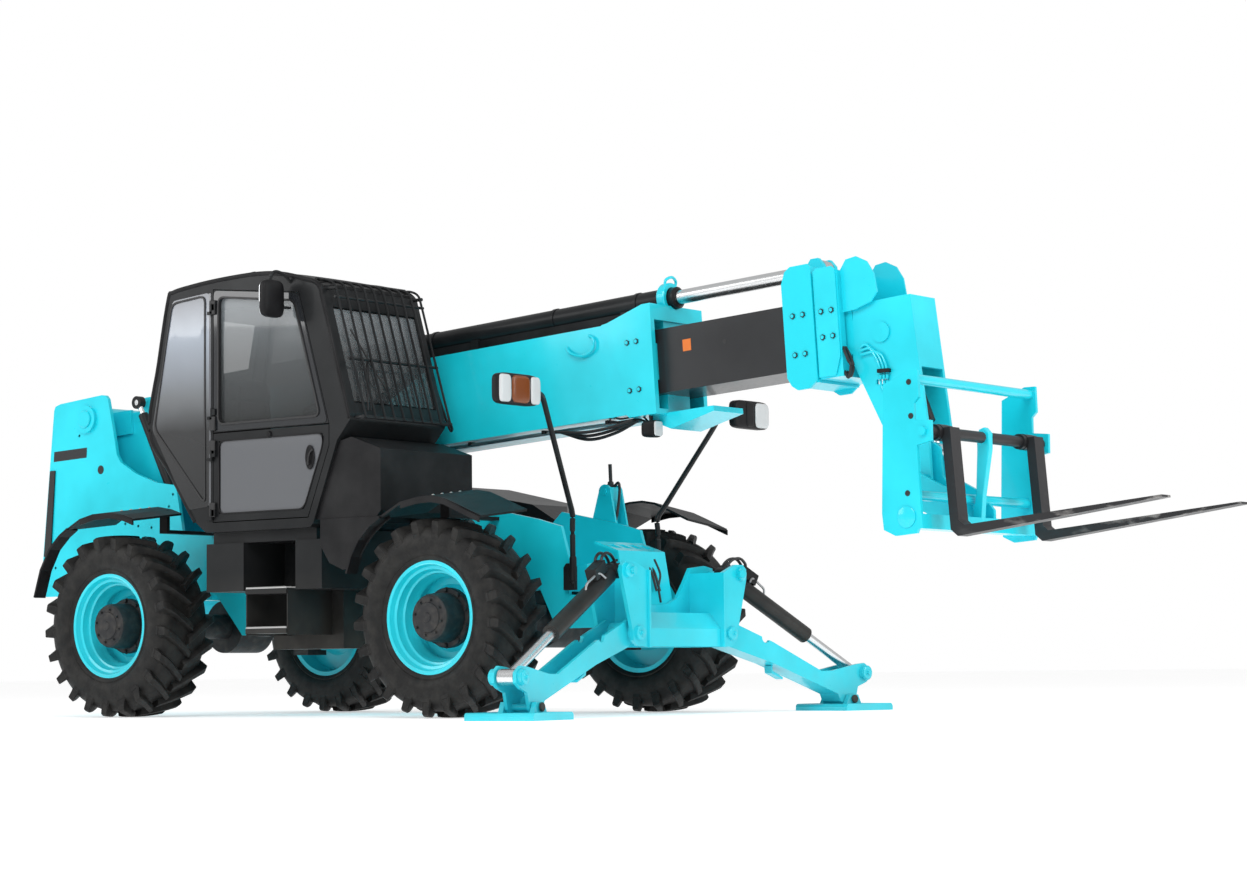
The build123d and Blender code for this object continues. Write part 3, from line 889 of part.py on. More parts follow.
def build_boom_head():
    """Section 4, and the head that drops from it to the carriage pivot."""
    w3, h3 = STAGE_3_WIDTH / 2, STAGE_3_HEIGHT / 2
    w4, h4 = STAGE_4_WIDTH / 2, STAGE_4_HEIGHT / 2
    tail = STAGE_4_TAIL + PAD_ROOM
    wall_w, wall_h = w3 - STAGE_WALL - PAD_GAP, h3 - STAGE_WALL - PAD_GAP
    section = box_section(STAGE_4_TAIL, NOSE_S, STAGE_4_WIDTH, h4, h4, STAGE_WALL)
    section = fused(section, *wear_pads(tail, tail + 100, 85, (w4 - 1, wall_w), (h4 - 1, wall_h), (h4 - 1, wall_h)))
    head = BOOM * section
    cheek = [(NOSE_X + dx, NOSE_Z + dz) for dx, dz in
             [(-2, 128), (36, 144), (360, 171), (384, 160), (487, -591), (HEAD_REACH + 79, -HEAD_DROP),
              (HEAD_REACH - 79, -HEAD_DROP), (197, -581), (-4, -191)]]
    slot_x, slot_z = NOSE_X + 187, NOSE_Z - 312
    cover = [(NOSE_X + dx, NOSE_Z + dz) for dx, dz in
             [(36, 144), (384, 171), (439, -241), (419, -243), (367, 149), (36, 122)]]
    for side in (-1, 1):
        head = head + side_plate(cheek, BOOM_Y + side * w4, BOOM_Y + side * (w4 - 22))
        head = head + bar_y(CARRIAGE_PIVOT_X, CARRIAGE_PIVOT_Z, BOOM_Y + side * (w4 - 22), BOOM_Y + side * w4, 80)
        head = head + bar_y(CARRIAGE_PIVOT_X, CARRIAGE_PIVOT_Z, BOOM_Y + side * (w4 - 30), BOOM_Y + side * (w4 + 20), 62)
        head = head + bar_y(TILT_BASE[0], TILT_BASE[1], BOOM_Y + side * (w4 - 1), BOOM_Y + side * (w4 + 12), 58)
    head = head - block(slot_x - 34, slot_x + 34, BOOM_Y - w4 - 1, BOOM_Y + w4 + 1, slot_z - 14, slot_z + 14)
    head = head + side_plate(cover, BOOM_Y - w4 + 1, BOOM_Y + w4 - 1)
    head = head - bar_y(CARRIAGE_PIVOT_X, CARRIAGE_PIVOT_Z, BOOM_Y - 300, BOOM_Y + 300, CARRIAGE_PIN + PIN_GAP)
    head = head + bar_y(TILT_BASE[0], TILT_BASE[1], BOOM_Y - w4 + 1, BOOM_Y + w4 - 1, 26)
    keep("boom_head", head)


# ---------------------------------------------------------------- cylinders
def cylinder(base, eye, pin_dir, half_eye, radii, barrel_end, rod_start):
    """Barrel and rod between two points; radii are those of the barrel, the rod and the base pin.

    The barrel turns on its base pin, the rod slides in the barrel's gland.
    """
    barrel_radius, rod_radius, pin_radius = radii
    length = math.dist(base, eye)
    unit = [(e - b) / length for b, e in zip(base, eye)]

    def along(d):
        return tuple(b + u * d for b, u in zip(base, unit))

    def eye_bar(centre, half, radius):
        ends = [tuple(c + sign * half * d for c, d in zip(centre, pin_dir)) for sign in (-1, 1)]
        return bar(ends[0], ends[1], radius)
    bore = barrel_radius * 0.8
    eye_radius = pin_radius * 1.3 + 14
    cap = eye_radius + 12
    barrel = fused(bar(along(0), along(cap + 5), half_eye * 0.9), bar(along(cap), along(cap + 20), barrel_radius),
                   tube(along(cap + 15), along(barrel_end), barrel_radius, bore),
                   tube(along(barrel_end - 40), along(barrel_end), barrel_radius, rod_radius + PIN_GAP),
                   eye_bar(base, half_eye, eye_radius))
    barrel = barrel - eye_bar(base, half_eye + 9, pin_radius + PIN_GAP)
    rod = fused(bar(along(rod_start), along(length - 10), rod_radius),
                bar(along(rod_start), along(rod_start + 40), bore - PIN_GAP),
                eye_bar(eye, half_eye, eye_radius))
    return barrel, rod


def build_cylinders():
    """Lift, compensation, tilt and stabiliser cylinders."""
    table = [
        # name, base (x, z), eye (x, z), y, half width of the eyes, radii, end of the barrel, start of the rod
        ("lift", LIFT_BASE, LIFT_EYE, BOOM_Y, LIFT_EYE_HALF, (88, 55, 38), 1600, 420),
        ("compensation", COMP_BASE, COMP_EYE, COMP_Y, 22, (34, 19, 20), 625, 125),
        ("tilt", TILT_BASE, TILT_EYE, BOOM_Y, TILT_EYE_HALF, (50, 30, 26), 560, 190),
    ]
    for name, base, eye, y, half_eye, radii, barrel_end, rod_start in table:
        barrel, rod = cylinder((base[0], y, base[1]), (eye[0], y, eye[1]), (0, 1, 0), half_eye, radii,
                               barrel_end, rod_start)
        keep(name + "_barrel", barrel)
        keep(name + "_rod", rod)
    for name, side in (("right", -1), ("left", 1)):
        pin_dir = (*turned(1, 0, -side * LEG_SWEEP), 0)
        barrel, rod = cylinder(swept_point(side, CYL_PIN_Y, CYL_PIN_Z), swept_point(side, ROD_PIN_Y, ROD_PIN_Z), pin_dir,
                               STAB_EYE, (52, 30, 24), 800, 560)
        keep("stabiliser_barrel_" + name, barrel)
        keep("stabiliser_rod_" + name, rod)


# ---------------------------------------------------------------- carriage and forks
CARRIAGE_PIN = 40
FORK_SHAFT = 24              # radius of the shaft that the forks hang on
FORK_FACE = 30               # from the shaft to the back of a fork
CARRIAGE_PLATE = 22


def build_carriage():
    """Fork carriage on the head's pivot."""
    near, far = BOOM_Y - CARRIAGE_HALF_WIDTH, BOOM_Y + CARRIAGE_HALF_WIDTH

    def from_pivot(points):
        return [(CARRIAGE_PIVOT_X + dx, CARRIAGE_PIVOT_Z + dz) for dx, dz in points]
    outline = from_pivot([(95, 550), (245, 618), (315, 618), (320, 470), (290, 440), (290, 350), (395, 340), (395, 230),
                          (305, 210), (325, -190), (295, -265), (160, -275), (85, -240), (75, -150)])
    frame = fused(*[side_plate(outline, y0, y0 + CARRIAGE_PLATE) for y0 in (near, far - CARRIAGE_PLATE)])
    for dx, dz in ((275, 573), (245, -55)):
        frame = frame + bar_y(CARRIAGE_PIVOT_X + dx, CARRIAGE_PIVOT_Z + dz, near, far, 28)
    frame = frame + side_plate(from_pivot([(215, -240), (333, -240), (327, -160), (215, -160)]), near, far)
    frame = frame + bar_y(FORK_SHAFT_X, FORK_SHAFT_Z, near - 20, far + 20, FORK_SHAFT)
    ear = from_pivot([(-70, -70), (-70, 80), (30, 95), (210, 0), (300, -110), (300, -235), (215, -240), (70, -130)])
    lug = from_pivot([(300, -200), (215, -200), (0, 30), (-15, 240), (40, 280), (95, 240), (110, 80)])
    for side in (-1, 1):
        y0 = BOOM_Y + side * (STAGE_4_WIDTH / 2 + 20 + RUN_GAP)
        frame = frame + side_plate(ear, y0, y0 + side * 25)
        y0 = BOOM_Y + side * (TILT_EYE_HALF + RUN_GAP)
        frame = frame + side_plate(lug, y0, y0 + side * CARRIAGE_PLATE)
    frame = frame + bar_y(CARRIAGE_PIVOT_X, CARRIAGE_PIVOT_Z, BOOM_Y - 190, BOOM_Y + 190, CARRIAGE_PIN)
    keep("carriage", frame)


def build_forks():
    """Two forks that hang on the carriage's shaft, their tips a little raised."""
    face, heel, bottom = FORK_FACE, FORK_FACE + FORK_THICKNESS, -FORK_DROP
    tip = FORK_FACE + FORK_THICKNESS - 10 + FORK_LENGTH
    outline = [(face, 20), (heel, 20), (heel, bottom + FORK_THICKNESS + 30), (heel + 30, bottom + FORK_THICKNESS),
               (tip, bottom + 62), (tip, bottom + 50), (heel + 500, bottom + 20), (face + 40, bottom), (face, bottom + 40)]
    outline = [turned(x, z, FORK_RAKE) for x, z in outline]
    outline = [(FORK_SHAFT_X + x, FORK_SHAFT_Z + z) for x, z in outline]
    for name, side in (("right", -1), ("left", 1)):
        y = BOOM_Y + side * FORK_SPREAD
        y0, y1 = y - FORK_WIDTH / 2, y + FORK_WIDTH / 2
        fork = side_plate(outline, y0, y1) + bar_y(FORK_SHAFT_X, FORK_SHAFT_Z, y0, y1, 46)
        keep("fork_" + name, fork - bar_y(FORK_SHAFT_X, FORK_SHAFT_Z, y0 - 2, y1 + 2, FORK_SHAFT + PIN_GAP))
    return max(x for x, _ in outline)


# ---------------------------------------------------------------- lamps and sway cylinder
SWAY_X = FRONT_X + 65
SWAY_Y = RAIL_OUTER + 70


def build_front_fittings():
    """Two lamp clusters on bent stalks, and the axle's sway cylinder with its lugs."""
    lamps = []
    for side in (-1, 1):
        foot, bend, elbow = (1845, side * 420, 760), (1845, side * 420, 1226), (2003, side * 879, 1851)
        lamps.append(fused(bar(foot, bend, 16), bar(bend, elbow, 16), bar(elbow, (2030, side * 1000, 1872), 16),
                           block(1995, 2070, side * 960, side * 1350, 1785, 1960),
                           block(1765, 1875, side * (RAIL_OUTER + SEAT_GAP), side * 432, 740, 905)))
    keep("work_lamps", together(lamps))
    x, y = SWAY_X, SWAY_Y
    sway = fused(tube((x, y, 900), (x, y, 1330), 45, 30), bar((x, y, 880), (x, y, 905), 45),
                 bar((x, y, 730), (x, y, 890), 24),
                 block(FRONT_X - 30, x + 40, y - 25, y + 25, AXLE_Z + AXLE_RADIUS + SEAT_GAP, 735))
    ear = [(x - 120, 1140), (x - 46, 1384), (x + 46, 1384), (x + 95, 1140)]
    lugs = []
    for y0, y1 in ((y - 64, y - 48), (y + 48, y + 64)):
        lugs.append(side_plate(ear, y0, y1) + bar_y(x, 1384, y0, y1, 46))
    for x0 in (x - 120, x + 35):
        lugs.append(block(x0, x0 + 60, RAIL_OUTER + SEAT_GAP, y + 64, 1130, 1162))
    lug = fused(*lugs, bar_y(x, 1384, y - 78, y + 78, 22), block(x - 38, x + 38, y - 46, y + 46, 1325, 1412))
    keep("sway_cylinder", sway + lug)


build_running_gear()
build_chassis()
build_tower()
build_fenders()
build_cab()
build_cab_inside()
build_cowl()
build_guard()
build_lockers()
build_engine()
build_stabilisers()
build_outer_boom()
build_extension()
build_inner_boom()
build_boom_head()
build_cylinders()
build_carriage()
FORK_TIP_X = build_forks()
build_front_fittings()
SHIFT_X = -(TAIL_X + FORK_TIP_X) / 2     # brings the origin to the middle of the footprint

for node, shape in NODES.items():
    export_step(Pos(SHIFT_X, 0, 0) * shape, "parts/" + node + ".step")
print(len(NODES), "nodes, shifted along X by", SHIFT_X)
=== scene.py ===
# %% [markdown]
# # A telescopic handler, dressed for its portrait
# The solids of this machine come from a CAD program, already in place, in metres, standing on z = 0.
# Blender adds what CAD leaves out: enamel, rubber, glass, tread, padding, lamps, hoses and bolts.
# Everything shares one frame, so a piece is put where the solids say, and nothing is fitted by eye.

import math

import bmesh
import bpy
import numpy as np
from mathutils import Matrix, Vector


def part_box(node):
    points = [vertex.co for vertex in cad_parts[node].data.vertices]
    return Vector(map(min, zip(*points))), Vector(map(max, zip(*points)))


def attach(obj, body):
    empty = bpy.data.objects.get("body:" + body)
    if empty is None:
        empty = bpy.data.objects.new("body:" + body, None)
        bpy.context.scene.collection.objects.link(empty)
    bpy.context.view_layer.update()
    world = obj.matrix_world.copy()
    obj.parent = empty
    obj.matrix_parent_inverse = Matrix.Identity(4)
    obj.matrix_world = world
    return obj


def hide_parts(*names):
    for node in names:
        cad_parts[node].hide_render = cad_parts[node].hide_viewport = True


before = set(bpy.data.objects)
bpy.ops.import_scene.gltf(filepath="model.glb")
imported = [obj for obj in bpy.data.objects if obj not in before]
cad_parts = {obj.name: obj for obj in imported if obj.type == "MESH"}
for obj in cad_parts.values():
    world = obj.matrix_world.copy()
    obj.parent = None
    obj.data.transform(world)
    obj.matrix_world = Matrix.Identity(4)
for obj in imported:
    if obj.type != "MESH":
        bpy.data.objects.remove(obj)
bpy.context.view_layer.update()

# %% [markdown]
# The machine was drawn from the point half way between its axles, and a place on it is easiest to
# say from there: forward, to the left, up. The wheels' boxes give that point in the shared frame.
# One helper moves a list of such places over, so no other line has to think about it.


# %% Places on the machine
def middle(node):
    """The centre of a solid's box."""
    low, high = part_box(node)
    return (np.array(low) + np.array(high)) / 2


AXLE_MIDDLE = (middle("rim_front_left")[0] + middle("rim_rear_left")[0]) / 2


def here(points):
    """One place, a list or a grid of them, from the middle of the wheelbase to the shared frame."""
    return np.array(points, float) + (AXLE_MIDDLE, 0, 0)


print("the middle of the wheelbase is at x =", round(AXLE_MIDDLE, 4))

# %% [markdown]
# A camera could be aimed by a tracking constraint, but a tripod is set with four honest numbers:
# where it stands, how far it is turned, tipped and rolled. From those come three unit directions,
# right, up and back, which are the columns of the camera's matrix.

# %% Camera
CAMERA_AT = (12.489, -13.618, 0.266)
YAW, PITCH, ROLL = (math.radians(a) for a in (37.841, 4.457, -0.602))
FILM_WIDTH, LENS = 36, 82.386


def camera_matrix(place, yaw, pitch, roll):
    """Looks along yaw (from +Y towards -X) and pitch, then rolls about the line of sight."""
    ahead = np.array((-math.sin(yaw) * math.cos(pitch), math.cos(yaw) * math.cos(pitch), math.sin(pitch)))
    right = np.array((math.cos(yaw), math.sin(yaw), 0.0))
    up = np.cross(right, ahead)
    turned_right = math.cos(roll) * right + math.sin(roll) * up
    turned_up = math.cos(roll) * up - math.sin(roll) * right
    m = np.eye(4)
    m[:3, 0], m[:3, 1], m[:3, 2], m[:3, 3] = turned_right, turned_up, -ahead, place
    return Matrix(m.tolist())


camera = bpy.data.objects.new("camera", bpy.data.cameras.new("camera"))
bpy.context.scene.collection.objects.link(camera)
camera.data.sensor_fit = "HORIZONTAL"
camera.data.sensor_width = FILM_WIDTH
camera.data.lens = LENS
camera.data.clip_end = 400
camera.matrix_world = camera_matrix(here(CAMERA_AT), YAW, PITCH, ROLL)
bpy.context.scene.camera = camera
print("lens", LENS, "mm")

# %% [markdown]
# A product portrait wants an even white sweep. A curved backdrop would hide the machine from
# behind, so the floor is a plain pale disc, far wider than the machine, under a white sky.
# The sky is a little dimmer for the surfaces than for the eye, so that enamel keeps its colour,
# and big soft panels give the long highlights that show where a plate bends.


# %% Floor, sky and soft lights
bpy.context.scene.view_settings.view_transform = "Standard"


def link(obj):
    bpy.context.scene.collection.objects.link(obj)
    return obj


def add_floor(radius=150.0, steps=128):
    """A disc at z = 0: a ring of points at one radius, joined by one face."""
    turn = np.linspace(0, 2 * np.pi, steps, endpoint=False)
    ring = np.stack((radius * np.cos(turn), radius * np.sin(turn), np.zeros(steps)), 1)
    mesh = bpy.data.meshes.new("floor")
    mesh.from_pydata(ring.tolist(), [], [list(range(steps))])
    material = bpy.data.materials.new("pale_floor")
    material.use_nodes = True
    shader = material.node_tree.nodes["Principled BSDF"]
    shader.inputs["Base Color"].default_value = (0.93, 0.93, 0.93, 1)
    shader.inputs["Roughness"].default_value = 0.75
    shader.inputs["Emission Color"].default_value = (1, 1, 1, 1)
    shader.inputs["Emission Strength"].default_value = 0.45
    mesh.materials.append(material)
    floor = link(bpy.data.objects.new("floor", mesh))
    return floor


def add_sky(seen=1.0, felt=0.55):
    """A white world that the camera sees at one strength and the surfaces at another."""
    world = bpy.data.worlds.new("sky")
    world.use_nodes = True
    tree = world.node_tree
    tree.nodes.clear()
    out = tree.nodes.new("ShaderNodeOutputWorld")
    mix = tree.nodes.new("ShaderNodeMixShader")
    path = tree.nodes.new("ShaderNodeLightPath")
    for strength, socket in ((felt, 1), (seen, 2)):
        sky = tree.nodes.new("ShaderNodeBackground")
        sky.inputs["Color"].default_value = (1, 1, 1, 1)
        sky.inputs["Strength"].default_value = strength
        tree.links.new(sky.outputs[0], mix.inputs[socket])
    tree.links.new(path.outputs["Is Camera Ray"], mix.inputs[0])
    tree.links.new(mix.outputs[0], out.inputs[0])
    bpy.context.scene.world = world


def add_panel(name, place, target, size, power):
    """A square soft light at one place, turned to face another."""
    data = bpy.data.lights.new(name, "AREA")
    data.shape = "SQUARE"
    data.size = size
    data.energy = power
    light = link(bpy.data.objects.new(name, data))
    light.location = here(place).tolist()
    aim = Vector(here(target).tolist()) - light.location
    light.rotation_euler = aim.to_track_quat("-Z", "Y").to_euler()
    return light


add_floor()
add_sky()
add_panel("key_panel", (6, -9, 9), (0.5, 0, 1.2), 6, 620)
add_panel("side_panel", (-7, -8, 6), (0, 0, 1.2), 5, 250)
add_panel("front_panel", (11, 3, 5), (3, 0, 1), 5, 280)
print("floor, sky and three panels are up")

# %% [markdown]
# Every finish starts from the same shader, so a short helper makes it: a Principled node, a
# texture read in Object coordinates, and small wires for roughness and bump. Object coordinates
# are the machine's own metres, so grain has its true size on every plate. Values that don't vary
# are set on the shader itself.


# %% Helpers for finishes
class Finish:
    """A material, with short ways to add textures in the machine's metres."""

    def __init__(self, name, colour, roughness=0.5, **sockets):
        self.material = bpy.data.materials.new(name)
        self.material.use_nodes = True
        self.tree = self.material.node_tree
        self.shader = self.tree.nodes["Principled BSDF"]
        self.shader.inputs["Base Color"].default_value = (*colour, 1)
        self.shader.inputs["Roughness"].default_value = roughness
        for socket, value in sockets.items():
            self.shader.inputs[socket.replace("_", " ")].default_value = value
        self.place = self.node("ShaderNodeTexCoord").outputs["Object"]
        print("finish:", name)

    def node(self, kind, **sockets):
        made = self.tree.nodes.new(kind)
        for socket, value in sockets.items():
            made.inputs[socket.replace("_", " ")].default_value = value
        return made

    def join(self, output, node, socket):
        self.tree.links.new(output, node.inputs[socket])
        return node

    def noise(self, scale, detail=3.0, stretch=(1, 1, 1)):
        """Noise with features 1 / scale metres long, stretched along the three axes."""
        mapping = self.node("ShaderNodeMapping")
        mapping.inputs["Scale"].default_value = stretch
        self.join(self.place, mapping, "Vector")
        made = self.node("ShaderNodeTexNoise", Scale=scale, Detail=detail)
        self.join(mapping.outputs[0], made, "Vector")
        return made.outputs["Fac"]

    def ramp(self, value, *stops):
        """Colours or greys at places between 0 and 1."""
        made = self.node("ShaderNodeValToRGB")
        elements = made.color_ramp.elements
        while len(elements) < len(stops):
            elements.new(0.5)
        for element, (where, shade) in zip(elements, stops):
            element.position = where
            element.color = (*shade, 1) if isinstance(shade, tuple) else (shade, shade, shade, 1)
        self.join(value, made, "Fac")
        return made.outputs["Color"]

    def mixed(self, mask, first, second):
        """One colour where the mask is 0, another where it is 1."""
        made = self.node("ShaderNodeMix")
        made.data_type = "RGBA"
        self.join(mask, made, 0)
        for value, socket in ((first, 6), (second, 7)):
            if isinstance(value, tuple):
                made.inputs[socket].default_value = (*value, 1)
            else:
                self.join(value, made, socket)
        return made.outputs[2]

    def bump(self, value, depth, strength=1.0):
        """Bump of a depth in metres."""
        made = self.node("ShaderNodeBump", Strength=strength, Distance=depth)
        self.join(value, made, "Height")
        if self.shader.inputs["Normal"].is_linked:
            self.join(self.shader.inputs["Normal"].links[0].from_socket, made, "Normal")
        self.join(made.outputs["Normal"], self.shader, "Normal")

    def grain(self, scale, detail, depth, strength, stretch=(1, 1, 1)):
        """Noise as a bump; the finish is handed back, so that it can be made in one line."""
        self.bump(self.noise(scale, detail, stretch), depth, strength)
        return self

    def mottle(self, scale, detail, *stops):
        """Noise as the base colour, through a ramp of colours."""
        self.join(self.ramp(self.noise(scale, detail), *stops), self.shader, "Base Color")

    def along(self, axis):
        """One coordinate of the place, in metres."""
        made = self.node("ShaderNodeSeparateXYZ")
        self.join(self.place, made, "Vector")
        return made.outputs[axis]

    def span(self, value, low, high):
        """A value brought from low .. high to 0 .. 1, and held there outside."""
        made = self.node("ShaderNodeMapRange")
        made.inputs["From Min"].default_value = low
        made.inputs["From Max"].default_value = high
        self.join(value, made, "Value")
        return made.outputs["Result"]

    def sum(self, kind, first, second):
        """Two numbers by a Math node."""
        made = self.node("ShaderNodeMath")
        made.operation = kind
        for i, value in enumerate((first, second)):
            if isinstance(value, (int, float)):
                made.inputs[i].default_value = value
            else:
                self.join(value, made, i)
        return made.outputs[0]


# %% [markdown]
# Enamel on plate steel: a saturated turquoise under a clear coat. Up close it has orange peel,
# a fine ripple from spraying, and low down it has picked up a film of dust. One flat colour would
# look like plastic, so broad noise moves the shade a little and the dust dulls the gloss.

# %% Turquoise enamel
TURQUOISE = (0.006, 0.66, 0.79)
DUST = (0.30, 0.27, 0.22)


def enamel(name, colour, roughness, dust=0.22, coat=0.5):
    """Sprayed paint: shade moved by broad noise, dust that grows below 0.9 metres, fine ripple."""
    shine = 0.3 if coat > 0.2 else 0.18
    made = Finish(name, colour, roughness, Coat_Weight=coat, Coat_Roughness=0.08, Specular_IOR_Level=shine)
    lighter = tuple(min(1.0, c * 1.12 + 0.01) for c in colour)
    darker = tuple(c * 0.9 for c in colour)
    shade = made.ramp(made.noise(2.1), (0.3, darker), (0.7, lighter))
    low = made.span(made.along("Z"), 0.9, 0.0)
    film = made.sum("MULTIPLY", made.sum("MULTIPLY", low, made.noise(9, 6)), dust)
    made.join(made.mixed(film, shade, DUST), made.shader, "Base Color")
    rough = made.sum("ADD", made.sum("MULTIPLY", made.noise(35, 4), 0.12), roughness - 0.06)
    made.join(rough, made.shader, "Roughness")
    return made.grain(420, 2, 0.0002, 0.25)


paint = enamel("turquoise_enamel", TURQUOISE, 0.3)

# %% [markdown]
# The dark pieces are four finishes that read differently in the light: satin black enamel on the
# cab and the inner boom, grained plastic on fenders and covers, rubber on the tyres, and cast
# iron on hubs and axles. They share a colour near black, so roughness and grain tell them apart.

# %% Black enamel, plastic, rubber and iron
black_enamel = enamel("black_enamel", (0.008, 0.009, 0.010), 0.38, 0.3, 0.05)
black_plastic = Finish("grained_plastic", (0.010, 0.010, 0.011), 0.45, Specular_IOR_Level=0.16)
black_plastic.grain(900, 2, 0.0004, 0.5)
black_plastic.mottle(5, 5, (0.35, (0.008, 0.008, 0.009)), (0.7, (0.019, 0.019, 0.020)))

rubber = Finish("tyre_rubber", (0.010, 0.010, 0.010), 0.6, Specular_IOR_Level=0.3)
rubber.mottle(14, 8, (0.4, (0.005, 0.005, 0.005)), (0.75, (0.020, 0.019, 0.017)))
rubber.join(rubber.span(rubber.noise(60, 6), -0.9, 1.6), rubber.shader, "Roughness")
rubber.grain(300, 4, 0.0008, 0.5)

iron = Finish("cast_iron", (0.03, 0.031, 0.034), 0.55, Metallic=0.35).grain(500, 5, 0.0007, 0.6)
iron.mottle(20, 7, (0.45, (0.02, 0.021, 0.023)), (0.8, (0.06, 0.055, 0.05)))

# %% [markdown]
# A cylinder rod is hard chrome: a mirror with hairlines left by the grinder, which run round it.
# Stretching the noise makes such lines. Fork steel is black paint, rubbed to bare metal by
# pallets along the top face and at the tips.

# %% Chrome, fork steel and zinc
chrome = Finish("hard_chrome", (0.78, 0.79, 0.80), 0.12, Metallic=1.0)
chrome.join(chrome.span(chrome.noise(60, 4, (25, 1, 1)), -0.6, 3.6), chrome.shader, "Roughness")
chrome.grain(90, 3, 0.0001, 0.2, (14, 1, 1))

fork_steel = Finish("fork_steel", (0.02, 0.02, 0.022), 0.42, Metallic=0.2)
worn = fork_steel.sum(
    "MULTIPLY",
    fork_steel.span(fork_steel.noise(22, 9, (0.35, 1, 1)), 0.55, 0.68),
    fork_steel.span(fork_steel.along("X"), 3.1, 4.2),
)
rubbed = fork_steel.mixed(worn, (0.018, 0.018, 0.02), (0.30, 0.29, 0.28))
fork_steel.join(rubbed, fork_steel.shader, "Base Color")
fork_steel.grain(200, 4, 0.0004, 0.4)

zinc = Finish("zinc_plate", (0.62, 0.62, 0.60), 0.34, Metallic=1.0).grain(400, 3, 0.0003, 0.3)

# %% [markdown]
# Cab glass is tinted and thin. A dark, glossy shader with an alpha below one lets the seat show
# through, and its Fresnel reflection gives the sheen of the sky. Its colour also grows lighter up
# the pane, a painted reflection of the horizon, which makes it look like glass and not like a hole.
# A lamp's lens is bright and clear or amber, with a soft bump for the prisms pressed into it.

# %% Glass and lamp lenses
glass = Finish("smoked_glass_and_painted_reflection", (0.12, 0.13, 0.14), 0.04, Alpha=0.62, Coat_Weight=0.3)
# Painted reflection: the base colour runs from dark low on the pane to light at its top.
painted_sky_reflection = glass.ramp(glass.span(glass.along("Z"), 1.75, 2.65),
                  (0.0, (0.030, 0.032, 0.032)), (0.5, (0.10, 0.11, 0.115)), (1.0, (0.26, 0.29, 0.31)))
glass.join(painted_sky_reflection, glass.shader, "Base Color")
mirror_glass = Finish("mirror_glass", (0.7, 0.72, 0.74), 0.04, Metallic=1.0)
clear_lens = Finish("clear_lens", (0.9, 0.92, 0.93), 0.12, Transmission_Weight=0.35, IOR=1.5)
clear_lens.grain(60, 1, 0.002, 0.5, (1, 4, 0.3))
amber_lens = Finish("amber_lens", (0.26, 0.065, 0.012), 0.2, Transmission_Weight=0.25, IOR=1.5)
amber_lens.grain(90, 1, 0.0015, 0.5, (1, 3, 0.3))

# %% Cloth, hose rubber, steel pipe and film
cloth_finish = Finish("seat_cloth", (0.03, 0.03, 0.033), 0.9, Sheen_Weight=0.4).grain(1400, 1, 0.0006, 0.8)
hose_rubber = Finish("hose_rubber", (0.013, 0.013, 0.014), 0.46).grain(700, 2, 0.0005, 0.5, (1, 1, 4))
grey_steel = Finish("grey_steel", (0.42, 0.43, 0.44), 0.35, Metallic=0.9).grain(300, 3, 0.0003, 0.3)
orange_film = Finish("orange_film", (0.72, 0.17, 0.015), 0.4).grain(300, 2, 0.0001, 0.3)

# %% [markdown]
# The solids carry material slots with plain names, one for each finish of the real machine.
# Swapping what is in the slots dresses all of them at once, and the shapes stay untouched.
# Section 2 of the boom is black with a turquoise collar at its end, so its paint changes colour
# at one distance along the boom, which is worked out from the boom's foot and slope.

# %% Dress the solids
FINISHES = {
    "paint": paint,
    "dark_paint": black_enamel,
    "tyre": rubber,
    "chrome": chrome,
    "black_plastic": black_plastic,
    "glass": glass,
    "iron": iron,
    "fabric": cloth_finish,
    "fork_steel": fork_steel,
}
SLOPE = math.radians(3.65)
BOOM_FOOT = (-2.540, 0.100, 1.7995)
COLLAR_FROM = (5.7395, 5.7405)
section_paint = enamel("section_paint", (0.018, 0.019, 0.021), 0.36, 0.1, 0.25)
forward = section_paint.sum("SUBTRACT", section_paint.along("X"), AXLE_MIDDLE + BOOM_FOOT[0])
upward = section_paint.sum("SUBTRACT", section_paint.along("Z"), BOOM_FOOT[2])
distance = section_paint.sum(
    "ADD",
    section_paint.sum("MULTIPLY", forward, math.cos(SLOPE)),
    section_paint.sum("MULTIPLY", upward, math.sin(SLOPE)),
)
under = section_paint.shader.inputs["Base Color"].links[0].from_socket
two_tone = section_paint.mixed(section_paint.span(distance, *COLLAR_FROM), under, TURQUOISE)
section_paint.join(two_tone, section_paint.shader, "Base Color")

for name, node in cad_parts.items():
    for slot in node.material_slots:
        plain = slot.material.name.split(".")[0]
        if plain in FINISHES:
            slot.material = FINISHES[plain].material
        else:
            print("no finish for", name, plain)
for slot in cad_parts["boom_section_2"].material_slots:
    slot.material = section_paint.material
print(len(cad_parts), "solids are dressed in", len(FINISHES) + 1, "finishes")

# %% [markdown]
# Every new shape below is a surface: a rule that gives a place for each pair of two parameters.
# numpy works the whole grid out at once. A shape is kept as its points and its faces, so that
# shapes can be moved, repeated and joined as arrays before one mesh is made of them.


# %% Shapes as arrays
def grid_faces(rows, columns, close_rows=False, close_columns=False):
    """The four-cornered faces of a grid of rows x columns points, each corner one step on."""
    r = np.arange(rows if close_rows else rows - 1)[:, None]
    c = np.arange(columns if close_columns else columns - 1)[None, :]
    r2, c2 = (r + 1) % rows, (c + 1) % columns
    corners = (r * columns + c, r * columns + c2, r2 * columns + c2, r2 * columns + c)
    return np.stack([np.broadcast_to(k, (r.size, c.size)).ravel() for k in corners], 1)


def surface(points, close_rows=False, close_columns=False):
    """A shape from a grid of places (rows, columns, 3)."""
    rows, columns = points.shape[:2]
    return points.reshape(-1, 3), [grid_faces(rows, columns, close_rows, close_columns)]


def joined(*shapes):
    """Several shapes as one: their points in a row, and each one's faces counted on from there."""
    points, faces, used = [], [], 0
    for shape_points, shape_faces in shapes:
        points.append(shape_points)
        faces += [block + used for block in shape_faces]
        used += len(shape_points)
    return np.concatenate(points), faces


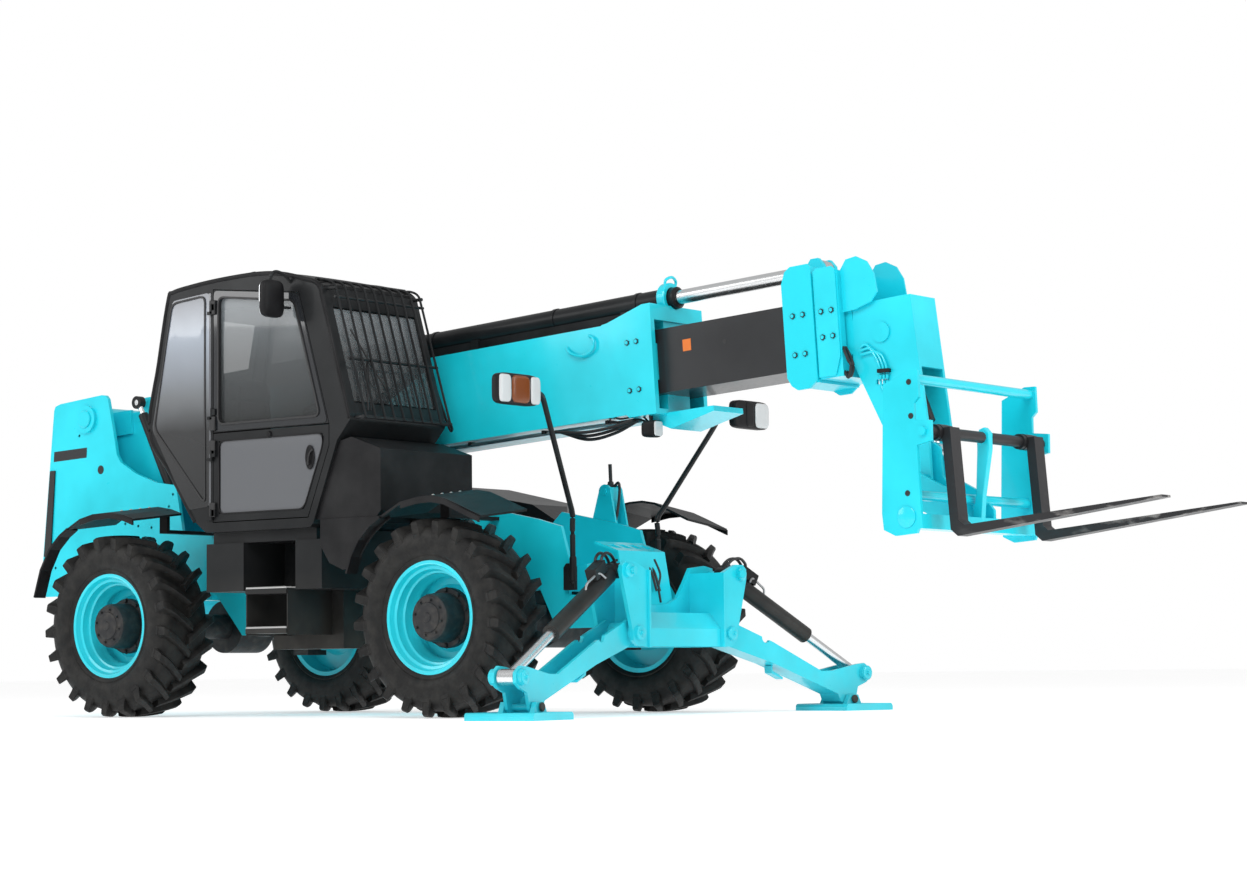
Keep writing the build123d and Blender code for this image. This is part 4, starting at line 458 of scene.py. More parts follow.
def repeated(shape, matrices):
    """A shape put at every one of n places, each a 4 x 4 matrix: matrix times point, all at once."""
    points, faces = shape
    many = np.asarray(matrices)
    full = np.einsum("mij,nj->mni", many[:, :3, :3], points) + many[:, None, :3, 3]
    step = np.arange(len(many))[:, None, None] * len(points)
    return full.reshape(-1, 3), [(block[None] + step).reshape(-1, block.shape[1]) for block in faces]


def stretched(shape, by):
    """A shape with each coordinate times its own number; -1 turns that axis over."""
    return shape[0] * np.array(by), shape[1]


def moved(shape, shift):
    """A shape with the same step added to all its points."""
    return shape[0] + np.array(shift, float), shape[1]


print("a 3 by 4 grid has", len(grid_faces(3, 4)), "faces")

# %% [markdown]
# A mesh in Blender is filled fastest from whole arrays. The helper also merges the points that meet
# in a seam or a pole and turns the faces outward, so that no shape has to mind which way its grid
# runs; on a shape that is open underneath Blender judges this by the outermost face. Then it gives
# the object its finish, its shading up to a sharp edge and the body it rides on.


# %% From a shape to a piece
def piece(name, shape, finish, body, smooth=35, bevel=0.0):
    """One object from one shape, with its seams and poles closed and its faces turned outward:
    mesh, finish, shading, a rounded edge if asked, and its body."""
    points, faces = shape
    mesh = bpy.data.meshes.new(name)
    mesh.from_pydata(points.tolist(), [], [row for block in faces for row in block.tolist()])
    closing = bmesh.new()
    closing.from_mesh(mesh)
    bmesh.ops.remove_doubles(closing, verts=closing.verts, dist=1e-6)
    bmesh.ops.recalc_face_normals(closing, faces=closing.faces)
    closing.to_mesh(mesh)
    closing.free()
    mesh.materials.append(finish.material)
    mesh.shade_smooth()
    mesh.set_sharp_from_angle(angle=math.radians(smooth))
    obj = link(bpy.data.objects.new(name, mesh))
    if bevel:
        rounding = obj.modifiers.new("rounding", "BEVEL")
        rounding.width = bevel
        rounding.segments = 2
        rounding.limit_method = "ANGLE"
        rounding.angle_limit = math.radians(40)
        rounding.harden_normals = False
    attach(obj, body)
    print(name, "has", len(mesh.polygons), "faces and rides on", body)
    return obj


# %% [markdown]
# Hubs, caps, tubes and tyres are turned parts: one half section spun about an axis. The section is
# a list of (along, radius) pairs, and every angle round the axis gives one more row of points.


# %% Turned parts
def lathe(profile, at, axis="Y", steps=64):
    """A profile of (along, radius) spun about an axis through a place: along the axis, and
    radius times the cosine and sine of the angle across it."""
    along, radius = np.array(profile, float).T
    angle = np.linspace(0, 2 * np.pi, steps, endpoint=False)[:, None]
    a = np.broadcast_to(along, (steps, len(along)))
    p, q = radius * np.cos(angle), radius * np.sin(angle)
    order = {"X": (a, p, q), "Y": (q, a, p), "Z": (p, q, a)}[axis]
    return surface(np.stack(order, 2) + np.array(at), close_rows=True)


print("a tube of 8 steps has", len(lathe([(0, 1), (1, 1)], (0, 0, 0), "Z", 8)[0]), "points")

# %% [markdown]
# Hoses, bars and seals are one outline carried along a line. At each point of the line the outline
# is set square to the direction of travel, and its across and up directions come from two cross
# products, so a hose keeps its round section through every bend.


# %% Outlines carried along a line
def frames_along(path, up=(0, 0, 1), closed=False):
    """At each point of a path, the two directions square to the direction of travel."""
    ahead = np.roll(path, -1, 0) - np.roll(path, 1, 0)
    if not closed:
        ahead[0], ahead[-1] = path[1] - path[0], path[-1] - path[-2]
    ahead = ahead / np.linalg.norm(ahead, axis=1, keepdims=True)
    side = np.cross(np.broadcast_to(up, ahead.shape), ahead)
    side = side / np.maximum(np.linalg.norm(side, axis=1, keepdims=True), 1e-9)
    return side, np.cross(ahead, side)


def end_faces(count, total):
    """The first and the last ring of a grid of total points, each ring as one face."""
    first = np.arange(count)[None, :]
    return [first, total - count + first]


def carried(outline, path, up=(0, 0, 1), closed=False):
    """A closed outline of (across, up) carried along a path: path + across * side + up * top.
    Open paths get an end face each."""
    path = np.array(path, float)
    outline = np.array(outline, float)
    side, top = frames_along(path, up, closed)
    offset = outline[None, :, 0, None] * side[:, None] + outline[None, :, 1, None] * top[:, None]
    points, faces = surface(path[:, None] + offset, closed, close_columns=True)
    if not closed:
        faces += end_faces(len(outline), len(points))
    return points, faces


def ring_outline(radius, count=12, squash=1.0):
    """A circle of points, or an oval."""
    turn = np.linspace(0, 2 * np.pi, count, endpoint=False)
    return np.stack((radius * np.cos(turn), radius * squash * np.sin(turn)), 1)


def smooth_path(corners, per_span=8):
    """A path through its corners: a Catmull-Rom curve, each span a cubic of four neighbours."""
    p = np.array(corners, float)
    p = np.concatenate((2 * p[:1] - p[1:2], p, 2 * p[-1:] - p[-2:-1]))
    t = np.linspace(0, 1, per_span, endpoint=False)[None, :, None]
    a, b, c, d = (p[i:len(p) - 3 + i, None] for i in range(4))
    square, cube = 2 * a - 5 * b + 4 * c - d, 3 * b - a - 3 * c + d
    curve = 0.5 * (2 * b + (c - a) * t + square * t**2 + cube * t**3)
    return np.concatenate((curve.reshape(-1, 3), p[-2:-1]))


def pipe(corners, radius, count=10, per_span=8):
    """A round pipe or hose through corners, given from the middle of the wheelbase."""
    path = smooth_path(here(corners), per_span) if per_span else here(corners)
    return carried(ring_outline(radius, count), path)


print("a hose through 3 corners has", len(pipe(np.eye(3), 0.01)[0]), "points")

# %% [markdown]
# Brackets, covers and blocks are flat outlines with a thickness: two copies of the outline, the
# walls between them and a face at each end. A brick is the simplest of them. What repeats on the
# machine is one such shape, put at many places by matrices that move it or turn it.


# %% Plates and copies
def plate(outline, low, high, axis="Y"):
    """A flat outline given a thickness along one axis; the outline's two numbers are the other
    two axes, in the order x, y, z."""
    flat = np.array(outline, float)
    through = "XYZ".index(axis)
    grid = np.zeros((2, len(flat), 3))
    grid[:, :, [i for i in range(3) if i != through]] = flat
    grid[:, :, through] = [[low], [high]]
    points, faces = surface(here(grid), close_columns=True)
    return points, faces + end_faces(len(flat), len(points))


def box_shape(x0, x1, y0, y1, z0, z1):
    """A brick between two corners, from the middle of the wheelbase."""
    return plate([(x0, z0), (x1, z0), (x1, z1), (x0, z1)], y0, y1)


def placed(shape, places):
    """The same shape at each of n places, by n matrices that only move it."""
    matrices = np.tile(np.eye(4), (len(places), 1, 1))
    matrices[:, :3, 3] = places
    return repeated(shape, matrices)


def turn_matrix(axis, angle, about=(0, 0, 0)):
    """Turning by each of one or more angles about an axis through a place, as 4 x 4 matrices."""
    there, back = Matrix.Translation(Vector(about)), Matrix.Translation(-Vector(about))
    return np.array([there @ Matrix.Rotation(a, 4, axis) @ back for a in np.atleast_1d(angle)])


print("a brick has", len(box_shape(0, 1, 0, 1, 0, 1)[0]), "corners")

# %% [markdown]
# A traction tyre is a round carcass with two staggered rows of bars. Displacing one fine skin would
# need half a million faces to get a crisp bar, so the tyre is made as it is moulded: a carcass spun
# from its section, and one bar carried along its curve over the crown and down the shoulder. That
# bar is repeated round the wheel, then turned over for the other half, half a pitch on.

# %% The carcass and one bar
TYRE_R, TYRE_HALF, BARS = 0.5845, 0.217, 21
CARCASS = [
    (-0.170, 0.330), (-0.182, 0.340), (-0.190, 0.356), (-0.186, 0.364), (-0.196, 0.376), (-0.204, 0.400),
    (-0.208, 0.430), (-0.206, 0.462), (-0.199, 0.492), (-0.186, 0.517), (-0.165, 0.534), (-0.130, 0.543),
    (-0.080, 0.548), (0.0, 0.550),
]
FOOT_OUT = [-0.02, 0.08, 0.13, 0.165, 0.19, 0.217]
FOOT_RADIUS = [0.545, 0.544, 0.538, 0.528, 0.505, 0.50]
LEAN, BEND, SHOULDER = 0.26, 1.25, 0.72


def carcass_shape():
    """The carcass section, mirrored about the wheel's middle plane and spun about Y."""
    half = np.array(CARCASS)
    whole = np.concatenate((half, half[-2::-1] * (-1, 1)))
    return lathe(whole, (0, 0, 0), "Y", 96)


def bar_shape(stations=13):
    """One tread bar. Going from the middle of the crown, s = 0, over the shoulder to s = 1, its
    centre runs out to the edge, turns back by an angle, lean * (1 - s / shoulder)^bend, and its
    top follows the crown and then drops down the sidewall; its foot is wider than its top."""
    s = np.linspace(0, 1, stations)
    gone = np.minimum(1, s / SHOULDER)
    out = -0.012 + 0.229 * gone
    angle = LEAN * (1 - gone) ** BEND
    drop = np.clip((s - SHOULDER) / (1 - SHOULDER), 0, 1)
    top = TYRE_R - 0.012 * np.clip(out / TYRE_HALF, 0, 1) ** 3 - 0.078 * drop
    foot = np.interp(out, FOOT_OUT, FOOT_RADIUS) - 0.07 * drop
    top_y, foot_y = out - 0.001 - 0.008 * drop, np.minimum(out, 0.196)
    half_top = 0.017 + 0.006 * s
    half_foot = half_top + 0.014 - 0.006 * drop
    lanes = (
        (foot, foot_y, half_foot),
        (top - 0.004, top_y, half_top + 0.002),
        (top, top_y - 0.003 * drop, half_top - 0.002),
    )
    slope = np.sqrt(1 + (LEAN * BEND * (1 - gone) ** (BEND - 1)) ** 2)
    points = []
    for side, ordered in ((-1, lanes), (1, lanes[::-1])):
        for radius, y, half in ordered:
            turn = angle + side * half * slope / radius
            points.append(np.stack((radius * np.sin(turn), y, radius * np.cos(turn)), 1))
    points, faces = surface(np.stack(points, 1))
    ends = np.array([[0, 5, 4, 1], [1, 4, 3, 2]])
    return points, faces + [ends, ends + len(points) - 6]


print("one bar has", len(bar_shape()[0]), "points")

# %% The four tyres
SIDES = (("left", 1), ("right", -1))
HUB_Y, AXLE_Z = 0.998, 0.585
HUBS = {f"{axle}_{name}": (side, (middle(f"rim_{axle}_{name}")[0], side * HUB_Y, AXLE_Z))
        for axle in ("front", "rear") for name, side in SIDES}


def tyre_shape():
    """Carcass and two rows of bars; the tread points the way the machine drives."""
    pitch = 2 * np.pi / BARS
    one = bar_shape()
    near = repeated(one, turn_matrix("Y", np.arange(BARS) * pitch))
    far = repeated(stretched(one, (1, -1, 1)), turn_matrix("Y", (np.arange(BARS) + 0.5) * pitch))
    return joined(carcass_shape(), near, far)


for wheel, (side, hub) in HUBS.items():
    dressed = piece(f"tread_tyre_{wheel}", moved(tyre_shape(), hub), rubber, f"wheel_{wheel}", 28)
    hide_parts(f"tyre_{wheel}")
print("each tyre has", BARS * 2, "bars and", len(dressed.data.polygons), "faces")

# %% [markdown]
# Each hub cap is a machined casting over the planetary gears: a stepped drum with a ring of screws
# on its face and wheel nuts round its foot. The drum is one section spun about the axle, and so is
# the rim's stepped bowl. The screws and nuts are one six-sided shape put round two circles.

# %% Hub caps and wheel nuts
HUB_CAP = [(-0.02, 0.0), (-0.02, 0.176), (0.018, 0.178), (0.026, 0.172), (0.028, 0.146), (0.120, 0.143),
           (0.150, 0.141), (0.172, 0.134), (0.182, 0.122), (0.184, 0.090), (0.191, 0.086), (0.194, 0.074),
           (0.194, 0.030), (0.199, 0.026), (0.200, 0.0)]
RIM_BOWL = [(0.174, 0.312), (0.160, 0.306), (0.147, 0.300), (0.142, 0.284), (0.112, 0.281), (0.100, 0.274),
          (0.094, 0.262), (0.052, 0.258), (0.040, 0.250), (0.020, 0.240), (0.010, 0.262), (0.090, 0.290),
          (0.140, 0.306), (0.172, 0.318)]


def nut_shape(radius, height, washer=1.35):
    """A six-sided nut on a round washer, along Y: two short lathed sections of 6 and 16 steps."""
    thick, wide = height * 0.2, radius * washer
    flat = [(0, 0), (0, wide), (thick, wide), (thick, 0)]
    head = [(0, 0), (0, radius), (height * 0.85, radius), (height, radius * 0.82), (height, 0)]
    return joined(lathe(flat, (0, 0, 0), "Y", 16), lathe(head, (0, 0, 0), "Y", 6))


def ring_places(count, radius, along, start=0.0):
    """Matrices round a circle about Y: angle i / count of a turn, at one radius."""
    turns = turn_matrix("Y", start + np.arange(count) * 2 * np.pi / count)
    return turns @ np.array(Matrix.Translation((0, along, radius)))


for wheel, (side, hub) in HUBS.items():
    nuts = joined(
        repeated(nut_shape(0.013, 0.022), ring_places(10, 0.163, 0.018)),
        repeated(nut_shape(0.007, 0.012), ring_places(8, 0.104, 0.1835, 0.2)))
    for name, shape, finish in (
        ("hub_cap", lathe(HUB_CAP, (0, 0, 0), "Y", 64), iron),
        ("wheel_nuts", nuts, iron),
        ("rim_steps", lathe(RIM_BOWL + RIM_BOWL[:1], (0, 0, 0), "Y", 96), paint),
    ):
        turned = moved(stretched(shape, (1, side, 1)), hub)
        piece(f"{name}_{wheel}", turned, finish, f"wheel_{wheel}", 30)

# %% [markdown]
# Rivet heads hold the wheel arches to their stays, four in a row across each crown. A rivet is a
# low dome, a short arc spun about its own axis.

# %% Rivets on the arches
DOME = [(0.007, 0.0), (0.0065, 0.005), (0.004, 0.009), (0.0, 0.011)]
HALF_BASE = 1.375
ARCH_EDGE_Y, ARCH_FALL = 1.224, math.tan(math.radians(7))
crown_y = np.array([0.86, 0.94, 1.02, 1.10])
rivets = []
for x, height in ((HALF_BASE - 0.03, 0.704), (-HALF_BASE + 0.04, 0.724)):
    for side in (-1, 1):
        z = AXLE_Z + height + (ARCH_EDGE_Y - crown_y) * ARCH_FALL
        rivets.append(here(np.stack((np.full(4, x), side * crown_y, z), 1)))
rivet = lathe(DOME, (0, 0, 0), "Z", 12)
piece("arch_rivets", placed(rivet, np.concatenate(rivets)), zinc, "chassis")

# %% [markdown]
# The nose of the boom's outer section carries its wear pads on set screws, two rows of two on each
# cheek, and the collars of the two sections that slide out of it have the same. Each screw has a
# hexagon head and a washer. The rows follow the boom's slope, so they are placed along the boom
# and above its centre line, and turned into the machine's own directions.

# %% The screws of the boom
BOOM_TURN = np.array([
    [math.cos(SLOPE), 0, -math.sin(SLOPE)],
    [0, 1, 0],
    [math.sin(SLOPE), 0, math.cos(SLOPE)],
])


def on_boom(points):
    """Places given as (along, across, above) the boom's centre line, in the shared frame."""
    return here(np.asarray(points) @ BOOM_TURN.T + BOOM_FOOT)


def boom_shape(shape):
    """A shape made along the boom, brought into the shared frame."""
    return on_boom(shape[0]), shape[1]


def side_screws(spots, half, size=0.012):
    """Hexagon heads on both cheeks: (along, above) places at plus and minus half across."""
    parts = []
    for side in (-1, 1):
        head = stretched(nut_shape(size, size * 1.1), (1, side, 1))
        parts.append(placed(head, [(along, side * half, above) for along, above in spots]))
    return boom_shape(joined(*parts))


def four_spots(first, step, above, below):
    """Two rows of two: (along, above) places."""
    return [(s, h) for h in (above, below) for s in (first, first + step)]


for place, spots, half, body in (
    ("nose", four_spots(4.63, 0.07, 0.13, -0.16), 0.262, "boom_outer"),
    ("collar_2", four_spots(5.81, 0.07, 0.119, -0.108), 0.223, "boom_section_2"),
    ("collar_3", four_spots(6.00, 0.07, 0.119, -0.03), 0.212, "boom_section_3"),
):
    piece(f"{place}_screws", side_screws(spots, half), paint, body)
    piece(f"{place}_washers", side_screws(spots, half - 0.010, 0.018), hose_rubber, body)

# %% [markdown]
# A cast clamp holds the end of the extension cylinder on the nose, with a lifting loop on it. The
# clamp is a ring section spun about the cylinder's axis, its loop a bent round bar. The barrel has
# a gland nut and five bands.

# %% The clamp on the extension cylinder
CYLINDER_UP = 0.400
CLAMP = [(-0.02, 0.069), (-0.02, 0.092), (-0.012, 0.098), (0.03, 0.098), (0.038, 0.092), (0.038, 0.069)]
BAND = [(-0.012, 0.068), (-0.012, 0.073), (0.012, 0.073), (0.012, 0.068)]
GLAND = [(0.0, 0.046), (0.0, 0.062), (0.006, 0.066), (0.04, 0.066), (0.05, 0.052), (0.05, 0.046)]


def on_cylinder(section, s, steps=48):
    """A closed section spun about the extension cylinder's axis, at a distance s along the boom."""
    return boom_shape(lathe(section + section[:1], (s, 0, CYLINDER_UP), "X", steps))


def boom_pipe(corners, radius, count=10, per_span=8):
    """A round pipe or hose through (along, across, above) corners."""
    return carried(ring_outline(radius, count), on_boom(smooth_path(corners, per_span)))


piece("cylinder_clamp", on_cylinder(CLAMP, 4.76), paint, "boom_outer")
bands = joined(*[on_cylinder(BAND, s) for s in (0.83, 1.9, 2.9, 3.9, 4.55)])
piece("cylinder_bands", bands, black_enamel, "boom_outer")
piece("cylinder_gland", on_cylinder(GLAND, 4.80, 40), black_enamel, "boom_outer")
loop = [(4.78, -0.05, 0.47), (4.79, -0.05, 0.51), (4.80, 0.0, 0.53), (4.79, 0.05, 0.51), (4.78, 0.05, 0.47)]
piece("clamp_loop", boom_pipe(loop, 0.009), paint, "boom_outer")

# %% [markdown]
# Oil reaches the carriage through steel pipes and hoses. Three pipes run along the underside of
# the outer section in small clips, three hoses hang below its nose, and two more loop at the
# collar of section 3. Pipes and hoses are circles carried along smooth lines.

# %% The pipes and hoses of the boom
pipes = [boom_pipe([(1.9, y, -0.317), (2.6, y, -0.317), (3.4, y, -0.322), (4.2, y + 0.02, -0.322),
                    (4.60, y + 0.02, -0.332)], 0.008, 8, 6) for y in (-0.20, -0.175, -0.15)]
piece("boom_pipes", joined(*pipes), grey_steel, "boom_outer")
clip = carried([(-0.045, -0.01), (0.045, -0.01), (0.045, 0.012), (-0.045, 0.012)],
               [(-0.012, -0.17, -0.318), (0.012, -0.17, -0.318)])
clips = boom_shape(placed(clip, [(s, 0, 0) for s in (2.1, 2.7, 3.3, 3.9, 4.4)]))
piece("pipe_clips", clips, black_plastic, "boom_outer", bevel=0.002)
hoses = [boom_pipe([(4.02, y, -0.33), (4.25, y - 0.02, -0.365 - 0.02 * i),
                    (4.45, y - 0.01, -0.36 - 0.015 * i), (4.62, y, -0.335)], 0.010, 8)
         for i, y in enumerate((-0.24, -0.215, -0.19))]
piece("nose_hoses", joined(*hoses), hose_rubber, "boom_outer")
loops = [boom_pipe([(6.115, y, -0.10), (6.16, y - 0.03, -0.16 - 0.02 * i), (6.18, y - 0.035, -0.22),
                    (6.15, y - 0.02, -0.27 - 0.01 * i), (6.113, y, -0.24)], 0.009, 8)
         for i, y in enumerate((-0.16, -0.185))]
piece("collar_hoses", joined(*loops), hose_rubber, "boom_section_3")

# %% [markdown]
# The side of section 2 has a blank square of orange film, and a hole for the locking pin, drawn as
# a thin dark disc of painted shade. The cheek of the outer section has a small bent bracket. Film
# and disc are thin raised outlines.

# %% The small things on the boom's side
SECTION_CHEEK = -0.1845


def side_patch(outline, y, thick):
    """A flat outline of (along, above) with its back at y across and a thickness outwards."""
    flat = np.array(outline, float)
    grid = np.zeros((2, len(flat), 3))
    grid[:, :, 0::2] = flat
    grid[:, :, 1] = [[y], [y - thick]]
    points, faces = surface(on_boom(grid), close_columns=True)
    return points, faces + end_faces(len(flat), len(points))


square = [(4.985, 0.035), (5.045, 0.035), (5.045, 0.105), (4.985, 0.105)]
piece("orange_square", side_patch(square, SECTION_CHEEK, 0.0016), orange_film, "boom_section_2")
# Painted shade: a dark disc stands for the shaded inside of the pin hole.
disc = side_patch(ring_outline(0.014, 24) + (5.29, 0.052), SECTION_CHEEK, 0.0012)
piece("pin_hole_shade", disc, hose_rubber, "boom_section_2")
hook = boom_pipe([(4.15, -0.245, 0.17), (4.19, -0.262, 0.13), (4.28, -0.264, 0.10), (4.36, -0.262, 0.13),
                  (4.37, -0.258, 0.19), (4.33, -0.245, 0.22)], 0.009, 8)
piece("cheek_hook", hook, paint, "boom_outer")

# %% [markdown]
# The windscreen guard is welded from round bars: ten upright bars that bend back over the roof's
# edge, four cross rails, and a rail that wraps round the corner beside the boom. Each bar is a
# circle carried along one bent line.

# %% The windscreen guard
NEAR, FAR = -1.16, -0.30
uprights = [pipe([(0.825, y, 1.795), (0.742, y, 2.06), (0.660, y, 2.325), (0.588, y, 2.56),
                  (0.560, y, 2.625), (0.500, y, 2.655), (0.43, y, 2.662)], 0.0075, 8, 6)
            for y in np.linspace(NEAR + 0.05, FAR - 0.05, 10)]
rails = [pipe([(x, NEAR + 0.03, z), (x, FAR - 0.03, z)], r, 10, 0) for x, z, r in
         ((0.812, 1.800, 0.012), (0.700, 2.160, 0.009), (0.585, 2.545, 0.009), (0.43, 2.668, 0.010))]
stays = [pipe([(x0, y, z), (x1, y, z)], 0.011, 10, 0) for y in (NEAR + 0.042, FAR - 0.042)
         for x0, x1, z in ((0.516, 0.585, 2.600), (0.747, 0.820, 1.800))]
wrap = pipe([(0.43, FAR - 0.03, 2.668), (0.40, FAR + 0.03, 2.640), (0.47, FAR + 0.045, 2.48),
             (0.60, FAR + 0.045, 2.10), (0.73, FAR + 0.04, 1.80), (0.79, FAR + 0.005, 1.77),
             (0.812, FAR - 0.03, 1.800)], 0.0085, 8)
guard = piece("guard_bars", joined(*uprights, *rails, *stays, wrap), black_enamel, "chassis")
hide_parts("windscreen_guard")

# %% [markdown]
# The cab's panes are bonded into black rubber. Each seal is a thin strip that follows its opening
# with rounded corners: the opening's outline, its corners turned into arcs, is carried round once
# with a small flat section.

# %% The window seals
def rounded_outline(corners, radius, steps=6):
    """A closed outline with its corners cut back by a radius: at each corner a quadratic curve
    (1-t)^2 a + 2t(1-t) b + t^2 c between points on its two sides."""
    p = np.array(corners, float)
    back = np.roll(p, 1, 0) - p
    ahead = np.roll(p, -1, 0) - p
    a = p + back / np.linalg.norm(back, axis=1, keepdims=True) * radius
    c = p + ahead / np.linalg.norm(ahead, axis=1, keepdims=True) * radius
    t = np.linspace(0, 1, steps)[None, :, None]
    curve = (1 - t) ** 2 * a[:, None] + 2 * t * (1 - t) * p[:, None] + t**2 * c[:, None]
    return curve.reshape(-1, 2)


def side_seal(corners, y, radius=0.05, width=0.012, out=0.006):
    """A seal round an opening in a wall that faces sideways."""
    flat = rounded_outline(corners, radius)
    path = np.stack((flat[:, 0], np.full(len(flat), y), flat[:, 1]), 1)
    section = [(-out, -width), (out, -width), (out, width), (-out, width)]
    return carried(section, here(path), up=(0, 1, 0), closed=True)


QUARTER = [(-0.5, 1.33), (-0.5, 2.64), (-0.80, 2.615), (-0.96, 1.83)]
FAR_WINDOW = [(-0.45, 1.5), (-0.86, 1.84), (-0.75, 2.60), (0.0, 2.65), (0.40, 2.54), (0.61, 1.83),
              (0.52, 1.6)]
DOOR_WINDOW = [(-0.382, 1.822), (-0.382, 2.622), (0.275, 2.546), (0.492, 1.822)]
DOOR_PANEL = [(-0.382, 1.263), (-0.382, 1.718), (0.512, 1.718), (0.512, 1.648), (0.352, 1.263)]
piece("quarter_seal", side_seal(QUARTER, NEAR + 0.001), hose_rubber, "chassis")
piece("far_seal", side_seal(FAR_WINDOW, FAR - 0.001), hose_rubber, "chassis")
piece("door_seal", side_seal(DOOR_WINDOW, NEAR + 0.001), hose_rubber, "door_upper")
piece("panel_seal", side_seal(DOOR_PANEL, NEAR + 0.003, 0.05, 0.007, 0.004), black_plastic, "door_lower")

# %% [markdown]
# The lower door has a glossy grey panel set into it, left blank, a round grip recess with its
# handle beside the latch, and a push button between the two halves. The panel is a shallow
# pillow: a grid over its outline that swells by a few millimetres, more in the middle, as moulded
# sheet does.

# %% The lower door
panel_grey = Finish("grey_gloss", (0.11, 0.115, 0.125), 0.16, Coat_Weight=0.6, Coat_Roughness=0.05)
panel_grey.grain(3, 2, 0.004, 0.15)


def pillow(corners, y, swell, shrink=0.02, rings=8, thick=0.004):
    """A face inside an outline: rings that shrink to the middle by k, k = 1 .. 0, and come
    forward, towards -Y, by swell * (1 - k^3); its back is flat."""
    flat = rounded_outline(corners, 0.03)
    centre = flat.mean(0)
    k = np.linspace(1, 0, rings)[:, None, None]
    front = np.empty((rings, len(flat), 3))
    front[:, :, 0::2] = centre + (flat - centre)[None] * (k * (1 - shrink))
    front[:, :, 1] = y - swell * (1 - k[:, :, 0] ** 3)
    back = front[:1] * (1, 0, 1) + (0, y + thick, 0)
    points, faces = surface(here(np.concatenate((back, front))), close_columns=True)
    return points, faces + [np.arange(len(flat))[None, :]]


piece("door_panel", pillow(DOOR_PANEL, NEAR + 0.0045, 0.0035), panel_grey, "door_lower", 40)
grip = lathe([(0.002, 0.0), (0.002, 0.058), (-0.005, 0.060), (-0.007, 0.055), (-0.003, 0.048), (-0.001, 0.0)],
             (0, 0, 0), "Y", 40)
grip = moved(stretched(grip, (0.62, 1, 1.25)), here((0.405, NEAR, 1.575)))
piece("grip_recess", grip, black_plastic, "door_lower")
bow = [(0.39, NEAR - 0.001, 1.53), (0.40, NEAR - 0.012, 1.55), (0.415, NEAR - 0.012, 1.60),
       (0.425, NEAR - 0.001, 1.62)]
handle = carried(ring_outline(0.009, 10, 0.7), here(smooth_path(bow, 6)))
piece("door_handle", handle, hose_rubber, "door_lower")
button = [(0.002, 0.0), (0.002, 0.02), (-0.006, 0.02), (-0.012, 0.016), (-0.013, 0.0)]
piece("door_button", lathe(button, here((0.06, NEAR, 1.735)), "Y", 32), black_plastic, "door_lower")

# %% [markdown]
# A glossy grey post stands between the quarter window and the door. The roof's edge is a rounded
# moulding: a round bar, half sunk, that follows the cab's side from the back, over the roof and
# down the front pillar.

# %% The post and the roof moulding
post = [(-0.492, 1.32), (-0.452, 1.32), (-0.452, 2.655), (-0.492, 2.650)]
piece("door_post", plate(post, NEAR - 0.004, NEAR + 0.002), panel_grey, "chassis", bevel=0.003)
EDGE = [
    (-0.60, 1.225), (-0.82, 1.535), (-1.012, 1.812), (-0.930, 2.25), (-0.845, 2.640), (-0.80, 2.688),
    (-0.62, 2.7125), (-0.44, 2.727), (-0.25, 2.7355), (-0.07, 2.738), (0.08, 2.7295), (0.20, 2.7105),
    (0.34, 2.674), (0.472, 2.6265), (0.520, 2.50), (0.630, 2.13), (0.728, 1.797),
]
for name, y in (("near", NEAR + 0.006), ("far", FAR - 0.006)):
    line = [(x, y, z) for x, z in EDGE]
    piece(f"roof_moulding_{name}", pipe(line, 0.015, 12, 6), black_plastic, "chassis", 60)

# %% [markdown]
# The mirror is a moulded housing with its glass towards the driver, on a bent tube that loops over
# the top of the door's corner. The housing is a rounded box, and the glass is a thinner one set
# into its back.

# %% The mirror
def rounded_box(half, centre, power, steps=40, rings=14):
    """A superellipsoid, |x/a|^p + |y/b|^p + |z/c|^p = 1, walked by one angle across and one round:
    each coordinate is a product of sines and cosines, raised to 2 / p with its sign kept."""
    u = np.linspace(0, 2 * np.pi, steps, endpoint=False)
    v = np.linspace(-np.pi / 2, np.pi / 2, rings)[:, None]

    def curve(w):
        return np.sign(w) * np.abs(w) ** (2 / power)

    a = curve(np.sin(v)) * np.ones(steps)
    b, c = curve(np.cos(v)) * curve(np.cos(u)), curve(np.cos(v)) * curve(np.sin(u))
    points, faces = surface(np.stack((a, b, c), 2) * np.array(half) + here(centre), close_columns=True)
    return points, [block[:, ::-1] for block in faces]


MIRROR_Y, MIRROR_Z = -1.29, 2.548
case = piece("mirror_case", rounded_box((0.029, 0.090, 0.115), (0.21, MIRROR_Y, MIRROR_Z), 4.5),
             black_plastic, "door_upper", 50)
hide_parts("mirror")
pane = rounded_box((0.003, 0.078, 0.102), (0.1805, MIRROR_Y, MIRROR_Z), 6)
piece("mirror_pane", pane, mirror_glass, "door_upper", 50)
arm = joined(
    pipe([(0.24, NEAR - 0.001, 2.66), (0.235, NEAR - 0.05, 2.70), (0.225, -1.27, 2.715), (0.215, -1.30, 2.69),
          (0.21, -1.30, 2.62)], 0.010),
    pipe([(0.24, NEAR - 0.001, 2.50), (0.23, NEAR - 0.04, 2.50), (0.215, -1.22, 2.52)], 0.009))
piece("mirror_arm", arm, black_enamel, "door_upper")

# %% [markdown]
# A wiper parks on the windscreen: a sprung arm with a second thin link, and a blade. All three
# lie a little in front of the glass.

# %% The wiper
parts = [pipe([(0.755, -1.02, 1.845), (0.735, -1.00, 1.95), (0.66, -0.93, 2.20)], 0.006, 8, 6),
         pipe([(0.75, -0.99, 1.850), (0.728, -0.97, 1.95), (0.655, -0.92, 2.20)], 0.004, 8, 6),
         pipe([(0.725, -0.80, 1.96), (0.664, -0.93, 2.18), (0.612, -1.02, 2.35)], 0.006, 8, 6)]
piece("wiper", joined(*parts), hose_rubber, "chassis")

